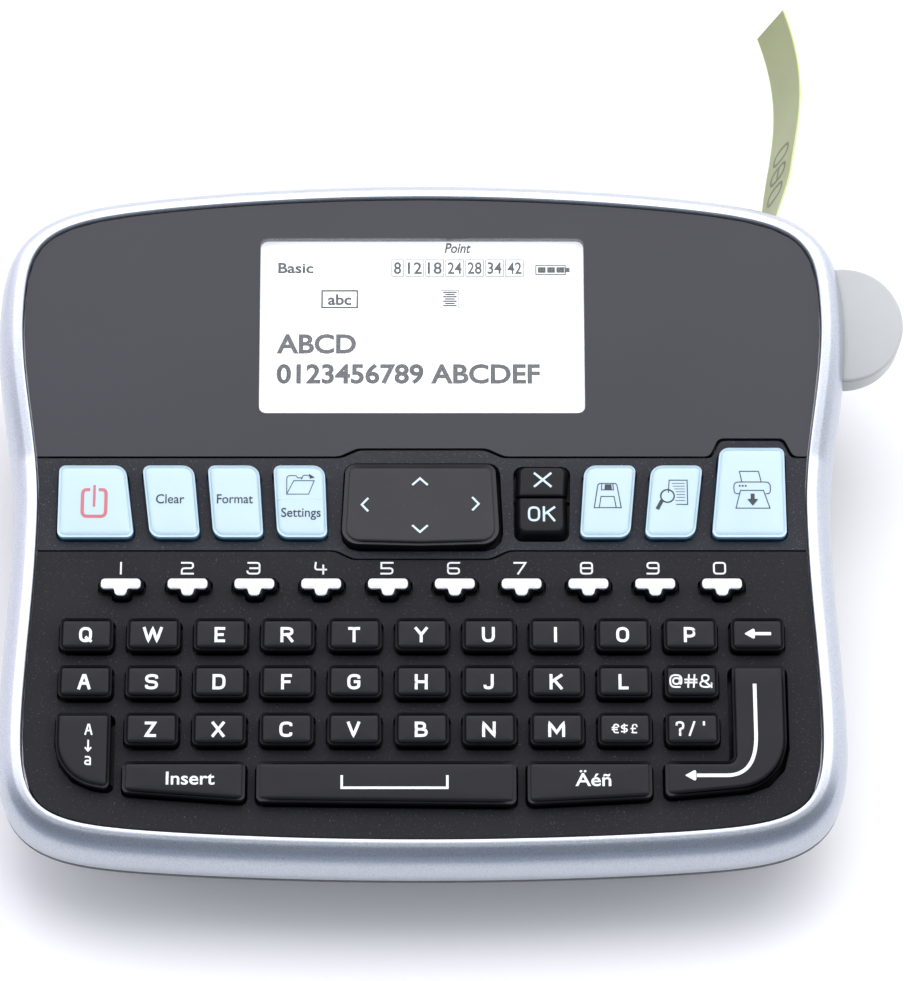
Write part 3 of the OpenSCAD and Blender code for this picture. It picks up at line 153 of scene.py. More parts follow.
def displayPanelFinish():                     # smooth violet-grey plastic with a slight sheen
    made = Finish("satin display panel", Specular_IOR_Level=0.4, Coat_Weight=0.1, Coat_Roughness=0.15)
    fine = made.noise(5200, 2, 0.6)
    made.wear(Base_Color=made.mix(made.noise(28, 3), (0.023, 0.022, 0.029), (0.030, 0.029, 0.038)),
              Roughness=fine * 0.10 + 0.36)
    made.bump(fine, 0.000004)
    return made.material


def keyboardPanelFinish(name, low, high, cover):      # dark fine-textured plastic with sparse pale flecks
    made = Finish(name, Specular_IOR_Level=0.12)
    fine, cloud = made.noise(4200, 2, 0.7), made.noise(45, 3)
    flecks = fine.rise(cover, cover + 0.09) * 0.5
    made.wear(Base_Color=made.mix(flecks, made.mix(cloud, low, high), (0.36, 0.37, 0.43)),
              Roughness=0.46 + fine * 0.16)
    made.bump(fine, 0.00002)
    return made.material


def lensFinish():                             # nearly clear, with a faint smear
    made = Finish("clear window", IOR=1.45)
    smear = made.noise(120, 3)
    made.wear(Base_Color=made.mix(smear, (0.80, 0.84, 0.86), (0.90, 0.93, 0.95)),
              Roughness=smear * 0.05 + 0.03, Alpha=smear * 0.03 + 0.05)
    made.material.blend_method = "BLEND"
    return made.material


def screenFinish():                           # pale; painted glow: an emission brightens the screen
    made = Finish("pale screen", Specular_IOR_Level=0.3, Emission_Strength=0.55)
    cell = made.noise(2500, 2, 0.6)
    tone = made.mix(cell, (0.88, 0.90, 0.90), (0.93, 0.94, 0.94))
    # painted glow: the emission takes the screen's own tone
    made.wear(Base_Color=tone, Roughness=cell * 0.1 + 0.35, Emission_Color=tone)
    made.bump(cell, 0.000003)
    return made.material


def keyFinish(name, low, high, roughness, coat, side=None, start=0.0, end=1.0, gloss=0.5):
    made = Finish(name, Coat_Weight=coat, Coat_Roughness=0.22, Specular_IOR_Level=gloss)
    fine, cloud = made.noise(5200, 2, 0.6), made.noise(120, 2)
    tone = made.mix(cloud, low, high)
    if side:                                  # painted shade: a darker tone down the sides, by height above the panel
        along, lift = made.slopeDepths()
        tone = made.mix(lift.rise(start, end), side, tone)
    made.wear(Base_Color=tone, Roughness=fine * 0.12 + roughness)
    made.bump(fine, 0.000008)
    return made.material


def navFinish():                              # grained top; painted shade: black sides below its sloping edge
    made = Finish("navigation pad", Specular_IOR_Level=0.25)
    fine, cloud = made.noise(4200, 2, 0.7), made.noise(90, 2)
    along, lift = made.slopeDepths()
    depth = (nav["rear"] + navSlope * (nav["top"] - along)) - lift
    flecks = fine.rise(0.64, 0.76) * 0.3
    top = made.mix(flecks, made.mix(cloud, (0.016, 0.016, 0.019), (0.023, 0.023, 0.027)), (0.14, 0.14, 0.16))
    # painted shade: below the top's edge the sides turn near black
    made.wear(Base_Color=made.mix(depth.rise(0.2, 0.6), top, (0.002, 0.002, 0.0025)), Roughness=fine * 0.15 + 0.42)
    made.bump(fine, 0.00002)
    return made.material


def tapeFinish():                             # olive tape with a painted highlight: a bright line along each edge
    made = Finish("label tape", Coat_Weight=0.15, Coat_Roughness=0.3)
    cloud, fine = made.noise(70, 4, 0.6), made.noise(1800, 2)
    across = made.apart(made.node("ShaderNodeUVMap", {"uv_map": "tape"}))[0]
    edgeHighlight = abs(across - 0.5).rise(0.468, 0.488)
    olive = made.mix(cloud, (0.245, 0.275, 0.12), (0.32, 0.35, 0.17))
    made.wear(Base_Color=made.mix(edgeHighlight, olive, (0.55, 0.63, 0.21)), Roughness=fine * 0.12 + 0.36)
    made.bump(cloud, 0.00008)
    return made.material


# each row: material name, its darker and lighter tone, roughness, and what its finish takes after that:
# the scale and height of the grain for plastic, the stretch of the grain for metal
moulded = {"base_shell": ("dark base plastic", (0.045, 0.047, 0.052), (0.060, 0.062, 0.068), 0.52, 3500, 0.00004),
           "foot_rubber": ("foot rubber", (0.012, 0.012, 0.012), (0.022, 0.022, 0.022), 0.8, 2500, 0.00006),
           "black_plastic": ("black inlet plastic", (0.012, 0.012, 0.013), (0.020, 0.020, 0.021), 0.4),
           "mat_rubber": ("key mat rubber", (0.03, 0.03, 0.032), (0.045, 0.045, 0.047), 0.75),
           "circuit_board": ("green board", (0.01, 0.09, 0.035), (0.02, 0.13, 0.05), 0.3, 1200),
           "flat_cable": ("amber film cable", (0.42, 0.17, 0.02), (0.52, 0.22, 0.03), 0.25, 800),
           "battery": ("blue battery sleeve", (0.01, 0.02, 0.09), (0.02, 0.03, 0.13), 0.3, 600),
           "cassette_plastic": ("cassette plastic", (0.02, 0.02, 0.022), (0.03, 0.03, 0.033), 0.45),
           "head": ("glazed print head", (0.03, 0.02, 0.018), (0.05, 0.04, 0.03), 0.2, 500),
           "platen_rubber": ("platen rubber", (0.015, 0.015, 0.016), (0.025, 0.025, 0.026), 0.7),
           "gear_plastic": ("natural gear plastic", (0.60, 0.57, 0.47), (0.70, 0.67, 0.58), 0.4)}
metals = {"screw_steel": ("plated screws", (0.42, 0.43, 0.44), (0.60, 0.61, 0.62), 0.32),
          "frame_steel": ("pressed sheet steel", (0.45, 0.46, 0.47), (0.60, 0.61, 0.62), 0.35, (1, 12, 1)),
          "motor_steel": ("motor can", (0.42, 0.43, 0.44), (0.56, 0.57, 0.58), 0.3, (1, 1, 9)),
          "spring_steel": ("spring wire", (0.40, 0.40, 0.41), (0.55, 0.55, 0.56), 0.3),
          "blade_steel": ("ground blade", (0.50, 0.51, 0.52), (0.68, 0.69, 0.70), 0.22, (14, 1, 1)),
          "contact_brass": ("plated contacts", (0.55, 0.38, 0.12), (0.72, 0.52, 0.20), 0.3),
          "pinion_brass": ("brass pinion", (0.52, 0.36, 0.10), (0.70, 0.50, 0.18), 0.28)}
# for a panel the number sets how sparse the pale flecks are; the key strip's row is painted light,
# a lighter copy of the keyboard panel's plastic, as the strip catches more light
panels = {"dark_panel": ("keyboard panel plastic", (0.012, 0.012, 0.0145), (0.019, 0.019, 0.0225), 0.66),
          "function_strip": ("key strip plastic", (0.024, 0.024, 0.029), (0.034, 0.034, 0.041), 0.63)}
# for a cap roughness is followed by the coat, the tone of the sides, the heights between which that
# tone fades into the top's, and the gloss; that darker tone of the sides is painted shade
caps = {"button_plastic": ("cutter button plastic", (0.42, 0.435, 0.425), (0.47, 0.485, 0.475), 0.34, 0.1),
        "blue_keys": ("pale blue keys", (0.46, 0.62, 0.69), (0.51, 0.66, 0.73), 0.34, 0.1,
                      (0.01, 0.09, 0.18), 0.35, 1.75),
        "digit_keys": ("white digit tops", (0.72, 0.73, 0.74), (0.80, 0.81, 0.82), 0.30, 0.2),
        "black_keys": ("black keys", (0.010, 0.010, 0.012), (0.014, 0.014, 0.017), 0.32, 0.05,
                       (0.001, 0.001, 0.0012), 0.8, 2.4, 0.15)}
prints = {"white": ("white print", (0.78, 0.79, 0.81), (0.86, 0.87, 0.88), 0.4),
          "pale": ("pale blue print", (0.52, 0.66, 0.72), (0.58, 0.72, 0.78), 0.4),
          "grey": ("grey print", (0.018, 0.028, 0.040), (0.030, 0.042, 0.055), 0.5),
          "red": ("red print", (0.50, 0.12, 0.14), (0.56, 0.16, 0.18), 0.4),
          "dark": ("small screen marks", (0.010, 0.010, 0.011), (0.018, 0.018, 0.019), 0.6),
          "screen": ("large screen marks", (0.030, 0.030, 0.031), (0.042, 0.042, 0.044), 0.6),
          "faded": ("faded tape print", (0.12, 0.14, 0.075), (0.16, 0.18, 0.10), 0.5)}
finishes = {"silver_shell": silverFinish(), "dark_gloss_panel": displayPanelFinish(), "window": lensFinish(),
            "display": screenFinish(), "label_tape": tapeFinish(), "nav": navFinish()}
for rows, finish in ((panels, keyboardPanelFinish), (moulded, mouldedFinish), (metals, metalFinish), (caps, keyFinish)):
    finishes |= {slot: finish(*row) for slot, row in rows.items()}
inks = {ink: mouldedFinish(*row) for ink, row in prints.items()}
print("finishes ready:", len(finishes) + len(inks))


def ringParts(rings, low=None, high=None, loop=False):
    # rings: count x points x 3, joined by quads; low and high are poles that close the two ends,
    # and a loop joins the last ring to the first
    rings = np.asarray(rings, float)
    count, around = rings.shape[:2]
    i, j = np.meshgrid(np.arange(count - (not loop)), np.arange(around), indexing="ij")
    k, n = (j + 1) % around, (i + 1) % count
    quads = np.stack([i * around + j, i * around + k, n * around + k, n * around + j], -1).reshape(-1, 4)
    points, faces = rings.reshape(-1, 3), quads.tolist()
    step = np.arange(around)
    for pole, first, flip in ((low, 0, False), (high, (count - 1) * around, True)):
        if pole is not None:
            hub = len(points)
            points = np.vstack([points, pole])
            fan = np.stack([np.full(around, hub), first + (step + 1) % around, first + step], -1)
            faces += (fan[:, ::-1] if flip else fan).tolist()
    return points, faces


def capped(rings):                            # rings closed at both ends by a fan round their middle
    return outward(ringParts(rings, rings[0].mean(0)[None], rings[-1].mean(0)[None]))


def joined(parts):                            # several (points, faces) as one
    points, faces = zip(*parts)
    starts = np.cumsum([0] + [len(p) for p in points]).tolist()
    return np.vstack(points), [[start + i for i in face] for start, some in zip(starts, faces) for face in some]


def signedVolume(points, faces):              # positive when the faces point outwards
    fans = np.array([(f[0], b, c) for f in faces for b, c in zip(f[1:-1], f[2:])])
    a, b, c = points[fans].transpose(1, 0, 2)
    return (a * np.cross(b, c)).sum() / 6


def outward(part):                            # turns the faces round if they point inwards
    points, faces = part
    return (points, [f[::-1] for f in faces]) if signedVolume(points, faces) < 0 else part


def makePiece(name, part, materials, body, slot, nodes=(), smooth=40):
    # millimetres in, metres out
    points, faces = part
    mesh = bpy.data.meshes.new(name)
    mesh.from_pydata((points / 1000).tolist(), [], faces)
    for material in materials:
        mesh.materials.append(material)
    mesh.polygons.foreach_set("use_smooth", np.ones(len(faces), bool))
    mesh.set_sharp_from_angle(angle=rad(smooth))
    mesh.update()
    piece = bpy.data.objects.new(name, mesh)
    bpy.context.scene.collection.objects.link(piece)
    if body:
        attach(piece, body)
    if nodes:
        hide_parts(*nodes)
    shown.append(piece)
    return piece


def cutter(name, part): return makePiece(name, part, [], None, None)      # a volume that cutAway takes out


def cutAway(piece, cutters):                  # takes the cutters' volume out of a piece, then drops them
    for volume in cutters:
        change = piece.modifiers.new("cut", "BOOLEAN")
        change.operation, change.solver, change.object = "DIFFERENCE", "EXACT", volume
    graph = bpy.context.evaluated_depsgraph_get()
    made = bpy.data.meshes.new_from_object(piece.evaluated_get(graph))
    piece.modifiers.clear()
    old, piece.data = piece.data, made
    made.name = old.name
    made.set_sharp_from_angle(angle=rad(40))
    bpy.data.meshes.remove(old)
    for volume in cutters:
        shown.remove(volume)
        bpy.data.objects.remove(volume)


def smoothLine(points, steps):                # Catmull-Rom curve through the points, steps per span
    p = np.asarray(points, float)
    p = np.vstack([2 * p[0] - p[1], p, 2 * p[-1] - p[-2]])
    t = np.linspace(0, 1, steps, endpoint=False)[:, None]
    spans = [0.5 * (2 * b + (c - a) * t + (2 * a - 5 * b + 4 * c - d) * t ** 2 + (3 * b - a - 3 * c + d) * t ** 3)
             for a, b, c, d in zip(p, p[1:], p[2:], p[3:])]
    return np.vstack(spans + [p[-2:-1]])


def ease(t):                                  # 0 to 1, slow at both ends
    return (1 - np.cos(np.pi * np.clip(t, 0, 1))) / 2


def faceZ(y):                                 # height of the face: two slopes that meet at the fold
    y = np.asarray(y, float)
    slope = np.where(y < case["foldY"], math.tan(rad(case["keyTilt"])), math.tan(rad(case["displayTilt"])))
    return case["foldZ"] + (y - case["foldY"]) * slope


def partHeight(y):                            # height of the line where the two shells meet: it rises to the rear
    c = case
    return c["partFront"] + (y + c["faceFront"]) * (c["partRear"] - c["partFront"]) / (c["faceRear"] + c["faceFront"])


def halfWidth(y):                             # half the face's width: least at the waist
    c = case
    rear = (y - c["waistY"]) / (c["faceRear"] - c["waistY"] - 20)
    front = (c["waistY"] - y) / (c["faceFront"] + c["waistY"] - 13)
    return np.where(y > c["waistY"], c["waistHalf"] + (c["rearHalf"] - c["waistHalf"]) * ease(rear),
                    c["waistHalf"] + (c["frontHalf"] - c["waistHalf"]) * ease(front))


def rimLine(count):
    # a superellipse |x|^p + |y|^p = 1 stretched to the face, its width eased in at the waist, its ends bowed
    c = case
    s = np.arange(count) * 4 / count
    q = np.floor(s)
    t = 2 * (s - q) - 1
    a = np.radians(90 * q + 45 * (1 + np.sign(t) * np.abs(t) ** 1.6))
    p = c["cornerPower"]
    r = (np.abs(np.cos(a)) ** p + np.abs(np.sin(a)) ** p) ** (-1 / p)
    y = (c["faceRear"] - c["faceFront"]) / 2 + (c["faceRear"] + c["faceFront"]) / 2 * r * np.sin(a)
    x = halfWidth(y) * r * np.cos(a)
    bow = np.where(a < np.pi, c["rearBow"], c["frontBow"])
    line = np.stack([x, y - r * np.sin(a) * x * x / (2 * bow)], -1)
    run = np.roll(line, -1, 0) - np.roll(line, 1, 0)
    run /= np.linalg.norm(run, axis=1, keepdims=True)
    return line, np.stack([run[:, 1], -run[:, 0]], -1)


edge, away = rimLine(case["around"])
partZ = partHeight(edge[:, 1])


def onPlane(tilt, u, v, w):                   # a place on a face plane: across, up the slope, out of it
    c, s = math.cos(rad(tilt)), math.sin(rad(tilt))
    u, v, w = np.broadcast_arrays(u, v, w)
    return np.stack([u, case["foldY"] + v * c - w * s, case["foldZ"] + v * s + w * c], -1)


def onKeys(u, v, w): return onPlane(case["keyTilt"], u, v, w)
def onDisplay(u, v, w): return onPlane(case["displayTilt"], u, v, w)


def shellRings(section):                      # section rows: offset, share of the face height, rise
    rings = []
    for offset, share, rise in section:
        p = edge + offset * away
        y = p[:, 1] if offset < 0 else edge[:, 1]
        rings.append(np.column_stack([p, share * faceZ(y) + (1 - share) * partZ + rise]))
    return np.array(rings)


def boxCutter(name, low, high):               # a box given by two opposite corners, to be cut away
    x, y, z = zip(low, high)
    corners = [[x[i], y[j], z[k]] for k in (0, 1) for i, j in ((0, 0), (1, 0), (1, 1), (0, 1))]
    faces = [[3, 2, 1, 0], [4, 5, 6, 7], [0, 1, 5, 4], [1, 2, 6, 5], [2, 3, 7, 6], [3, 0, 4, 7]]
    return cutter(name, outward((np.array(corners, float), faces)))


def turned(profile, place, axis="z"):
    # a profile of (radius, height) turned round an upright axis, or round one that points along y
    order = [0, 1, 2] if axis == "z" else [1, 2, 0]
    a = np.linspace(0, 2 * np.pi, 64, endpoint=False)
    r, h = np.asarray(profile, float).T[:, :, None]
    rings = np.stack([r * np.cos(a), r * np.sin(a), h + 0 * a], -1)[..., order] + place
    low, high = (np.array([[0, 0, profile[row][1]]], float)[:, order] + place for row in (0, -1))
    return outward(ringParts(rings, low, high))


def tube(inner, outer, low, high, place):     # a round boss with a hole down it
    a = np.linspace(0, 2 * np.pi, 40, endpoint=False)
    rings = [np.column_stack([place[0] + r * np.cos(a), place[1] + r * np.sin(a), np.full(40, z)])
             for r, z in ((inner, low), (outer, low), (outer, high), (inner, high))]
    return outward(ringParts(rings, loop=True))


# points are places on a rim line of 88 points; the bosses have a hole for the screw, wider in the base
screws = dict(points=(0, 17, 27, 44, 53, 79), inset=9, bossR=3.2, topHole=1.3, baseHole=1.45, headR=3.0, headZ=4.2,
              shaftR=1.5, shaftZ=9)


def bossPlaces():                             # the six screws: place, height of the parting, height of the face
    coarse, out = rimLine(88)
    return [(coarse[i] - screws["inset"] * out[i], partHeight(coarse[i, 1]), float(faceZ(coarse[i, 1])))
            for i in screws["points"]]


def topShell():                               # the silver rail: crest, outer side, inner wall and the panels' ledge
    c = case
    ledgeTop = c["panelT"] / math.cos(rad(c["displayTilt"])) + 0.05
    w, k = c["railW"], c["railCrest"]
    crest = smoothLine([[0.05, k * 0.4], [0.16, k * 0.82], [0.5, k], [1.25, k * 0.8], [w * 0.42, k * 0.25],
                        [w * 0.68, -0.9], [w * 0.88, -2.7], [w * 0.98, -4.9], [w, -6.4]], 6)
    section = [[0, 1, -ledgeTop], [0, 1, -0.35], [0.02, 1, -0.05]] + [[o, 1, r] for o, r in crest]
    section += [[w - 0.02 - 0.18 * t, 1 - t, -6.4 * (1 - t)] for t in np.linspace(0.12, 0.97, 10)]
    section += [[w - 0.2, 0.0, 0.25], [w - 0.26, 0, 0.08], [w - 0.42, 0, 0.0], [w - c["wall"], 0, 0],
                [w - c["wall"], 1, -6.6], [-c["ledgeW"], 1, -ledgeTop - c["ledgeT"]], [-c["ledgeW"], 1, -ledgeTop]]
    bosses = [tube(screws["topHole"], screws["bossR"], parting - 6, face - 6.7, at)
              for at, parting, face in bossPlaces()]
    part = joined([outward(ringParts(shellRings(section), loop=True))] + bosses)
    return makePiece("rail_shell", part, [finishes["silver_shell"]], "housing", "silver_shell", ["top_housing"], 32)


def basePiece():                              # rows: offset, share of the way up, tuck under the front
    c = case
    w, wall = c["railW"], c["wall"]
    shadow = [[w - 0.8, 1, -0.6], [w - 0.82, 0.94, -0.55]]    # a fine dark edge that shows below the rail in front
    outer = np.vstack([shadow, smoothLine([[w - 1, 0.92, 0.1], [w - 2, 0.62, 1.7], [0.6, 0.28, 2.2], [-2.6, 0.08, 1],
                                           [-c["baseInset"], 0, 0]], 7)])
    inner = smoothLine([[-c["baseInset"] - 1, 0, 0], [-2.6 - wall, 0.1, 1], [0.6 - wall, 0.3, 2.2],
                        [w - 2 - wall, 0.64, 1.7], [w - 0.8 - wall, 1, 0]], 4)
    front = ease((c["tuckY"] - edge[:, 1]) / c["tuckRun"])[:, None]
    rings = []
    for line, floor in ((inner, c["floorZ"] + c["floorT"]), (outer, c["floorZ"])):
        for offset, share, tuck in line:
            p = edge + (offset - tuck * front) * away
            rings.append(np.column_stack([p, floor + share * (partZ - 0.05 - floor)]))
    middle = (c["faceRear"] - c["faceFront"]) / 2
    shell = outward(ringParts(rings, [[0, middle, c["floorZ"] + c["floorT"]]], [[0, middle, c["floorZ"]]]))
    bosses = [tube(screws["baseHole"], screws["bossR"], c["floorZ"] + 1, parting - 6.05, at)
              for at, parting, face in bossPlaces()]
    part, slot = joined([shell] + bosses), "base_shell"
    return makePiece("base_shell", part, [finishes[slot]], "housing", slot, ["bottom_housing"], 32)


cutY = 51.3                                   # where the blade crosses the tape; the button lies a little ahead of it
button = dict(r=12.0, t=8.0, drop=5.0, travel=6.0, innerFrom=1.5, round=0.7, topRound=0.45, ahead=8.8, slotGap=0.4)
button["x"] = 1000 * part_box("cutter_button")[1][0] - button["r"]
button["v"] = (cutY - button["ahead"] - case["foldY"]) / math.cos(rad(case["displayTilt"]))
button["low"] = -button["drop"] - button["t"]


def slotCutter():                             # the room in which the cutter button slides
    b, gap = button, button["slotGap"]
    a = np.linspace(np.pi / 2, 3 * np.pi / 2, 41)
    r = b["r"] + gap
    u = np.concatenate([b["x"] - b["travel"] + r * np.cos(a), [300, 300]])
    v = np.concatenate([b["v"] + r * np.sin(a), [b["v"] - r, b["v"] + r]])
    return cutter("slot_cutter", capped([onDisplay(u, v, b["low"] - gap), onDisplay(u, v, gap - b["drop"])]))


top = topShell()
cutAway(top, [slotCutter()])
base = basePiece()
doorGap = 0.3
openings = dict(cassette=(-21, 55, 23, 52), battery=(-150, -28, 15, 46.5), tape=(74.5, 66.0, 12.0, 12.0),
                jack=(-58, 18, 3.7))          # x from and to, y from and to; x, y, z, height; x, z, radius
feet = dict(r=5.15, seatZ=2.4, places=[(0, 0), (-58, -48), (58, -48), (-54, 53), (61.5, 50)])


def baseCutters():                            # the doors' openings, tape slot, inlet, foot seats and screw holes
    g = doorGap
    x0, x1, y0, y1 = openings["cassette"]
    made = [boxCutter("cut_a", (x0 - g, y0 - g, -1), (x1 + g, y1 + g, 4.6))]
    x0, x1, y0, y1 = openings["battery"]      # the second box makes the grooves that guide the cover's edges
    made += [boxCutter("cut_b", (x0, y0 - g, -1), (x1 + g, y1 + g, 3.7)),
             boxCutter("cut_g", (x0, y0 - g - 1, 2.15), (x1 + g, y1 + g + 1, 3.05))]
    x, y, z, w = openings["tape"]
    made.append(boxCutter("cut_c", (x - 1.2, y - 9, z - 1), (x + 1.2, y + 9, z + w + 1)))
    x, z, r = openings["jack"]
    made.append(cutter("cut_d", turned([[r, 52], [r, 90]], (x, 0, z), "y")))
    seat = [[feet["r"], -1], [feet["r"], feet["seatZ"]]]
    made += [cutter("cut_e", turned(seat, (*at, 0))) for at in feet["places"]]
    s = screws
    hole = [[s["headR"], -1], [s["headR"], s["headZ"]], [s["shaftR"], s["headZ"]], [s["shaftR"], s["shaftZ"]]]
    return made + [cutter("cut_f", turned(hole, (*at, 0))) for at, parting, face in bossPlaces()]


cutAway(base, baseCutters())
print("shells ready:", len(top.data.polygons), len(base.data.polygons))


def unit(v): return v / np.linalg.norm(v)
def crossed(a, b): return a[0] * b[1] - a[1] * b[0]


def movedCorners(corners, d):                 # every side shifted inwards by d
    c = np.asarray(corners, float)
    made = []
    for i, p in enumerate(c):
        u, v = unit(c[i - 1] - p), unit(c[(i + 1) % len(c)] - p)
        half = math.acos(np.clip(u @ v, -1, 1)) / 2
        made.append(p + (1 if crossed(v, u) > 0 else -1) * unit(u + v) * d / math.sin(half))
    return np.array(made)


def roundedLine(corners, radii, arc=8, side=5):
    # each corner an arc that touches both sides; the sides between them cut into equal steps
    c = np.asarray(corners, float)
    arcs = []
    for i, p in enumerate(c):
        u, v = unit(c[i - 1] - p), unit(c[(i + 1) % len(c)] - p)
        half = math.acos(np.clip(u @ v, -1, 1)) / 2
        r = radii[i]
        centre = p + unit(u + v) * r / math.sin(half)
        start, end = p + u * r / math.tan(half) - centre, p + v * r / math.tan(half) - centre
        a = math.atan2(start[1], start[0])
        swing = (math.atan2(end[1], end[0]) - a + np.pi) % (2 * np.pi) - np.pi
        t = a + swing * np.linspace(0, 1, arc + 1)
        arcs.append(centre + r * np.column_stack([np.cos(t), np.sin(t)]))
    line = []
    for i, points in enumerate(arcs):
        after = arcs[(i + 1) % len(arcs)][0]
        steps = np.linspace(0, 1, side + 1)[1:-1, None]
        line += [points, points[-1] + (after - points[-1]) * steps]
    return np.vstack(line)


def keyLine(key, d, **steps):                 # the key's outline moved inwards by d
    corners, radii = np.asarray(key[0], float), key[1]
    grown = []
    for i, p in enumerate(corners):
        u, v = corners[i - 1] - p, corners[(i + 1) % len(corners)] - p
        grown.append(max(0.15, radii[i] - d * (1 if crossed(v, u) > 0 else -1)))
    return roundedLine(movedCorners(corners, d), grown, **steps)


def boxKey(u, v, w, d, r):                    # a rectangle round a centre, as corners and radii
    return [[u - w / 2, v - d / 2], [u + w / 2, v - d / 2], [u + w / 2, v + d / 2], [u - w / 2, v + d / 2]], [r] * 4


board = dict(pitchU=13.26, pitchV=9.8, keyW=10.7, keyD=6.8, keyH=2.6, flare=0.55, edge=0.6, crown=0.06, grow=-0.12,
             keyR=1.2, gap=0.3, lip=0.55, lipTop=-2.5, lipT=0.8, topRow=38.4, frontV=73.8, bowR=625.0)
digit = dict(v=-26.5, half=4.5, stem=1.8, barD=2.7, depth=4.2, heart=1.35, edge=0.45, flare=0.3, sink=0.25,
             topAside=0.12, topLift=0.15, topFoot=0.6, topEdge=0.5, topFlare=0.05)


def columnU(i): return (i - 5) * board["pitchU"]
def digitU(i): return (i - 4.5) * board["pitchU"]
def rowV(r): return -board["topRow"] - r * board["pitchV"]
def letterKey(i, r): return boxKey(columnU(i), rowV(r), board["keyW"], board["keyD"], board["keyR"])


def digitKey(i):                              # a bar with a stem below it
    u, b, s, v0 = digitU(i), digit["half"], digit["stem"], digit["v"]
    v1, v2 = v0 - digit["barD"], v0 - digit["depth"]
    return ([[u - b, v1], [u - s, v1], [u - s, v2], [u + s, v2], [u + s, v1], [u + b, v1], [u + b, v0], [u - b, v0]],
            [0.9, 0.9, 1.0, 1.0, 0.9, 0.9, 0.9, 0.9])


strip = dict(top=-2.3, bottom=-17.8, fan=0.0022, width=10.5, height=1.8, small=1.4, lowR=2.4, topR=2.6, edge=1.05,
             flare=0.35, crown=0.12, grow=-0.1, stackEdge=0.45, stackCrown=0.05, clear=-51.0, format=-37.9,
             settings=-24.7, pair=23.9, save=37.8, preview=51.2, powerRight=-59.4, printLeft=59.8, end=72.9,
             printTop=1.5, cancelLow=-8.8, okHigh=-9.4)


def fanKey(left, right, top, leanLeft, leanRight, lowR=strip["lowR"], topR=strip["topR"]):
    # the two corners that point along the lean are the rounder ones
    low, small = strip["bottom"], strip["small"]
    lean = lambda u: u * (1 + strip["fan"] * (low - strip["top"]))
    lowLeft, lowRight = lean(left) if leanLeft else left, lean(right) if leanRight else right
    radii = [lowR, small, topR, small] if left < 0 else [small, lowR, small, topR]
    return [[lowLeft, low], [lowRight, low], [right, top], [left, top]], radii


def middleKey(name):                          # a key that leans on both sides
    return fanKey(strip[name] - strip["width"] / 2, strip[name] + strip["width"] / 2, strip["top"], True, True)


stripKeys = {"power_key": fanKey(-strip["end"], strip["powerRight"], strip["top"], False, True, strip["small"])}
stripKeys |= {name + "_key": middleKey(name) for name in ("clear", "format", "settings", "save", "preview")}
stripKeys["print_key"] = fanKey(strip["printLeft"], strip["end"], strip["printTop"], True, False, strip["small"], 2.1)
pairL, pairR = strip["pair"] - strip["width"] / 2, strip["pair"] + strip["width"] / 2
cancelLow, okHigh, pairTop, pairLow = strip["cancelLow"], strip["okHigh"], strip["top"], strip["bottom"]
cancelKey = ([[pairL, cancelLow], [pairR, cancelLow], [pairR + 0.4, pairTop], [pairL + 0.4, pairTop]], [0.4, 0.4, 1.4, 1.4])
okKey = ([[pairL, pairLow], [pairR, pairLow], [pairR, okHigh], [pairL, okHigh]], [1.4, 1.4, 0.4, 0.4])
cancelTop = ([[pairL + 0.9, -8.9], [pairR - 0.9, -8.9], [pairR - 0.5, -2.8], [pairL + 1.1, -2.8]], [0.3, 0.3, 1.2, 1.2])
okTop = ([[pairL + 0.9, -16.6], [pairR - 0.9, -16.6], [pairR - 0.9, okHigh], [pairL + 0.9, okHigh]], [1.3, 1.3, 0.3, 0.3])
navKey = ([[-16.1, -19.5], [-0.3, -19.95], [15.5, -19.5], [14.7, -1.6], [-15.3, -1.6]], [3.4, 30, 3.4, 2, 2])


def frontV(u): return -board["frontV"] + u * u / (2 * board["bowR"])      # the bowed front of the lowest row


lowTop = rowV(3) + board["keyD"] / 2 - 0.15
sideU, innerU = columnU(10) + board["keyW"] / 2 + 0.2, columnU(10) - board["keyW"] / 2 - 0.4
enterLeft = columnU(9) - board["keyW"] / 2 - 0.3


def lowKey(left, right):                      # a key of the lowest row, its front along the case's bow
    return [[left, frontV(left)], [right, frontV(right)], [right, lowTop], [left, lowTop]], [board["keyR"]] * 4


def capitalsKey(inner, cornerR):              # its left side stays, its right side lies at inner
    rear = rowV(2) + board["keyD"] / 2
    return ([[-sideU, frontV(sideU) + 1.2], [-inner, frontV(innerU) + 0.4], [-inner, rear], [-sideU, rear]],
            [cornerR, 1.2, 1.2, 1.2])


def enterKey(slimmer, cornerR):               # an L, its upright part slimmer on both sides
    side, inner, rear = sideU - slimmer, innerU + slimmer, rowV(1) + board["keyD"] / 2
    return ([[enterLeft, frontV(enterLeft)], [side, frontV(sideU)], [side, rear], [inner, rear],
             [inner, lowTop], [enterLeft, lowTop]], [1.2, cornerR, 1.2, 1.2, 1.2, 1.2])


lowKeys = {"insert_key": lowKey(columnU(1) - board["keyW"] / 2 - 0.2, -34.4), "space_key": lowKey(-32.4, 18.5),
           "accent_key": lowKey(20.5, 45.0), "capitals_key": capitalsKey(innerU, 9.0), "enter_key": enterKey(0.0, 9.0)}
slimKeys = {"capitals_key": capitalsKey(innerU + 0.4, 9.5), "enter_key": enterKey(0.35, 10.5)}
enterHeart = np.array([(sideU + innerU) / 2, (lowTop + frontV(innerU)) / 2])


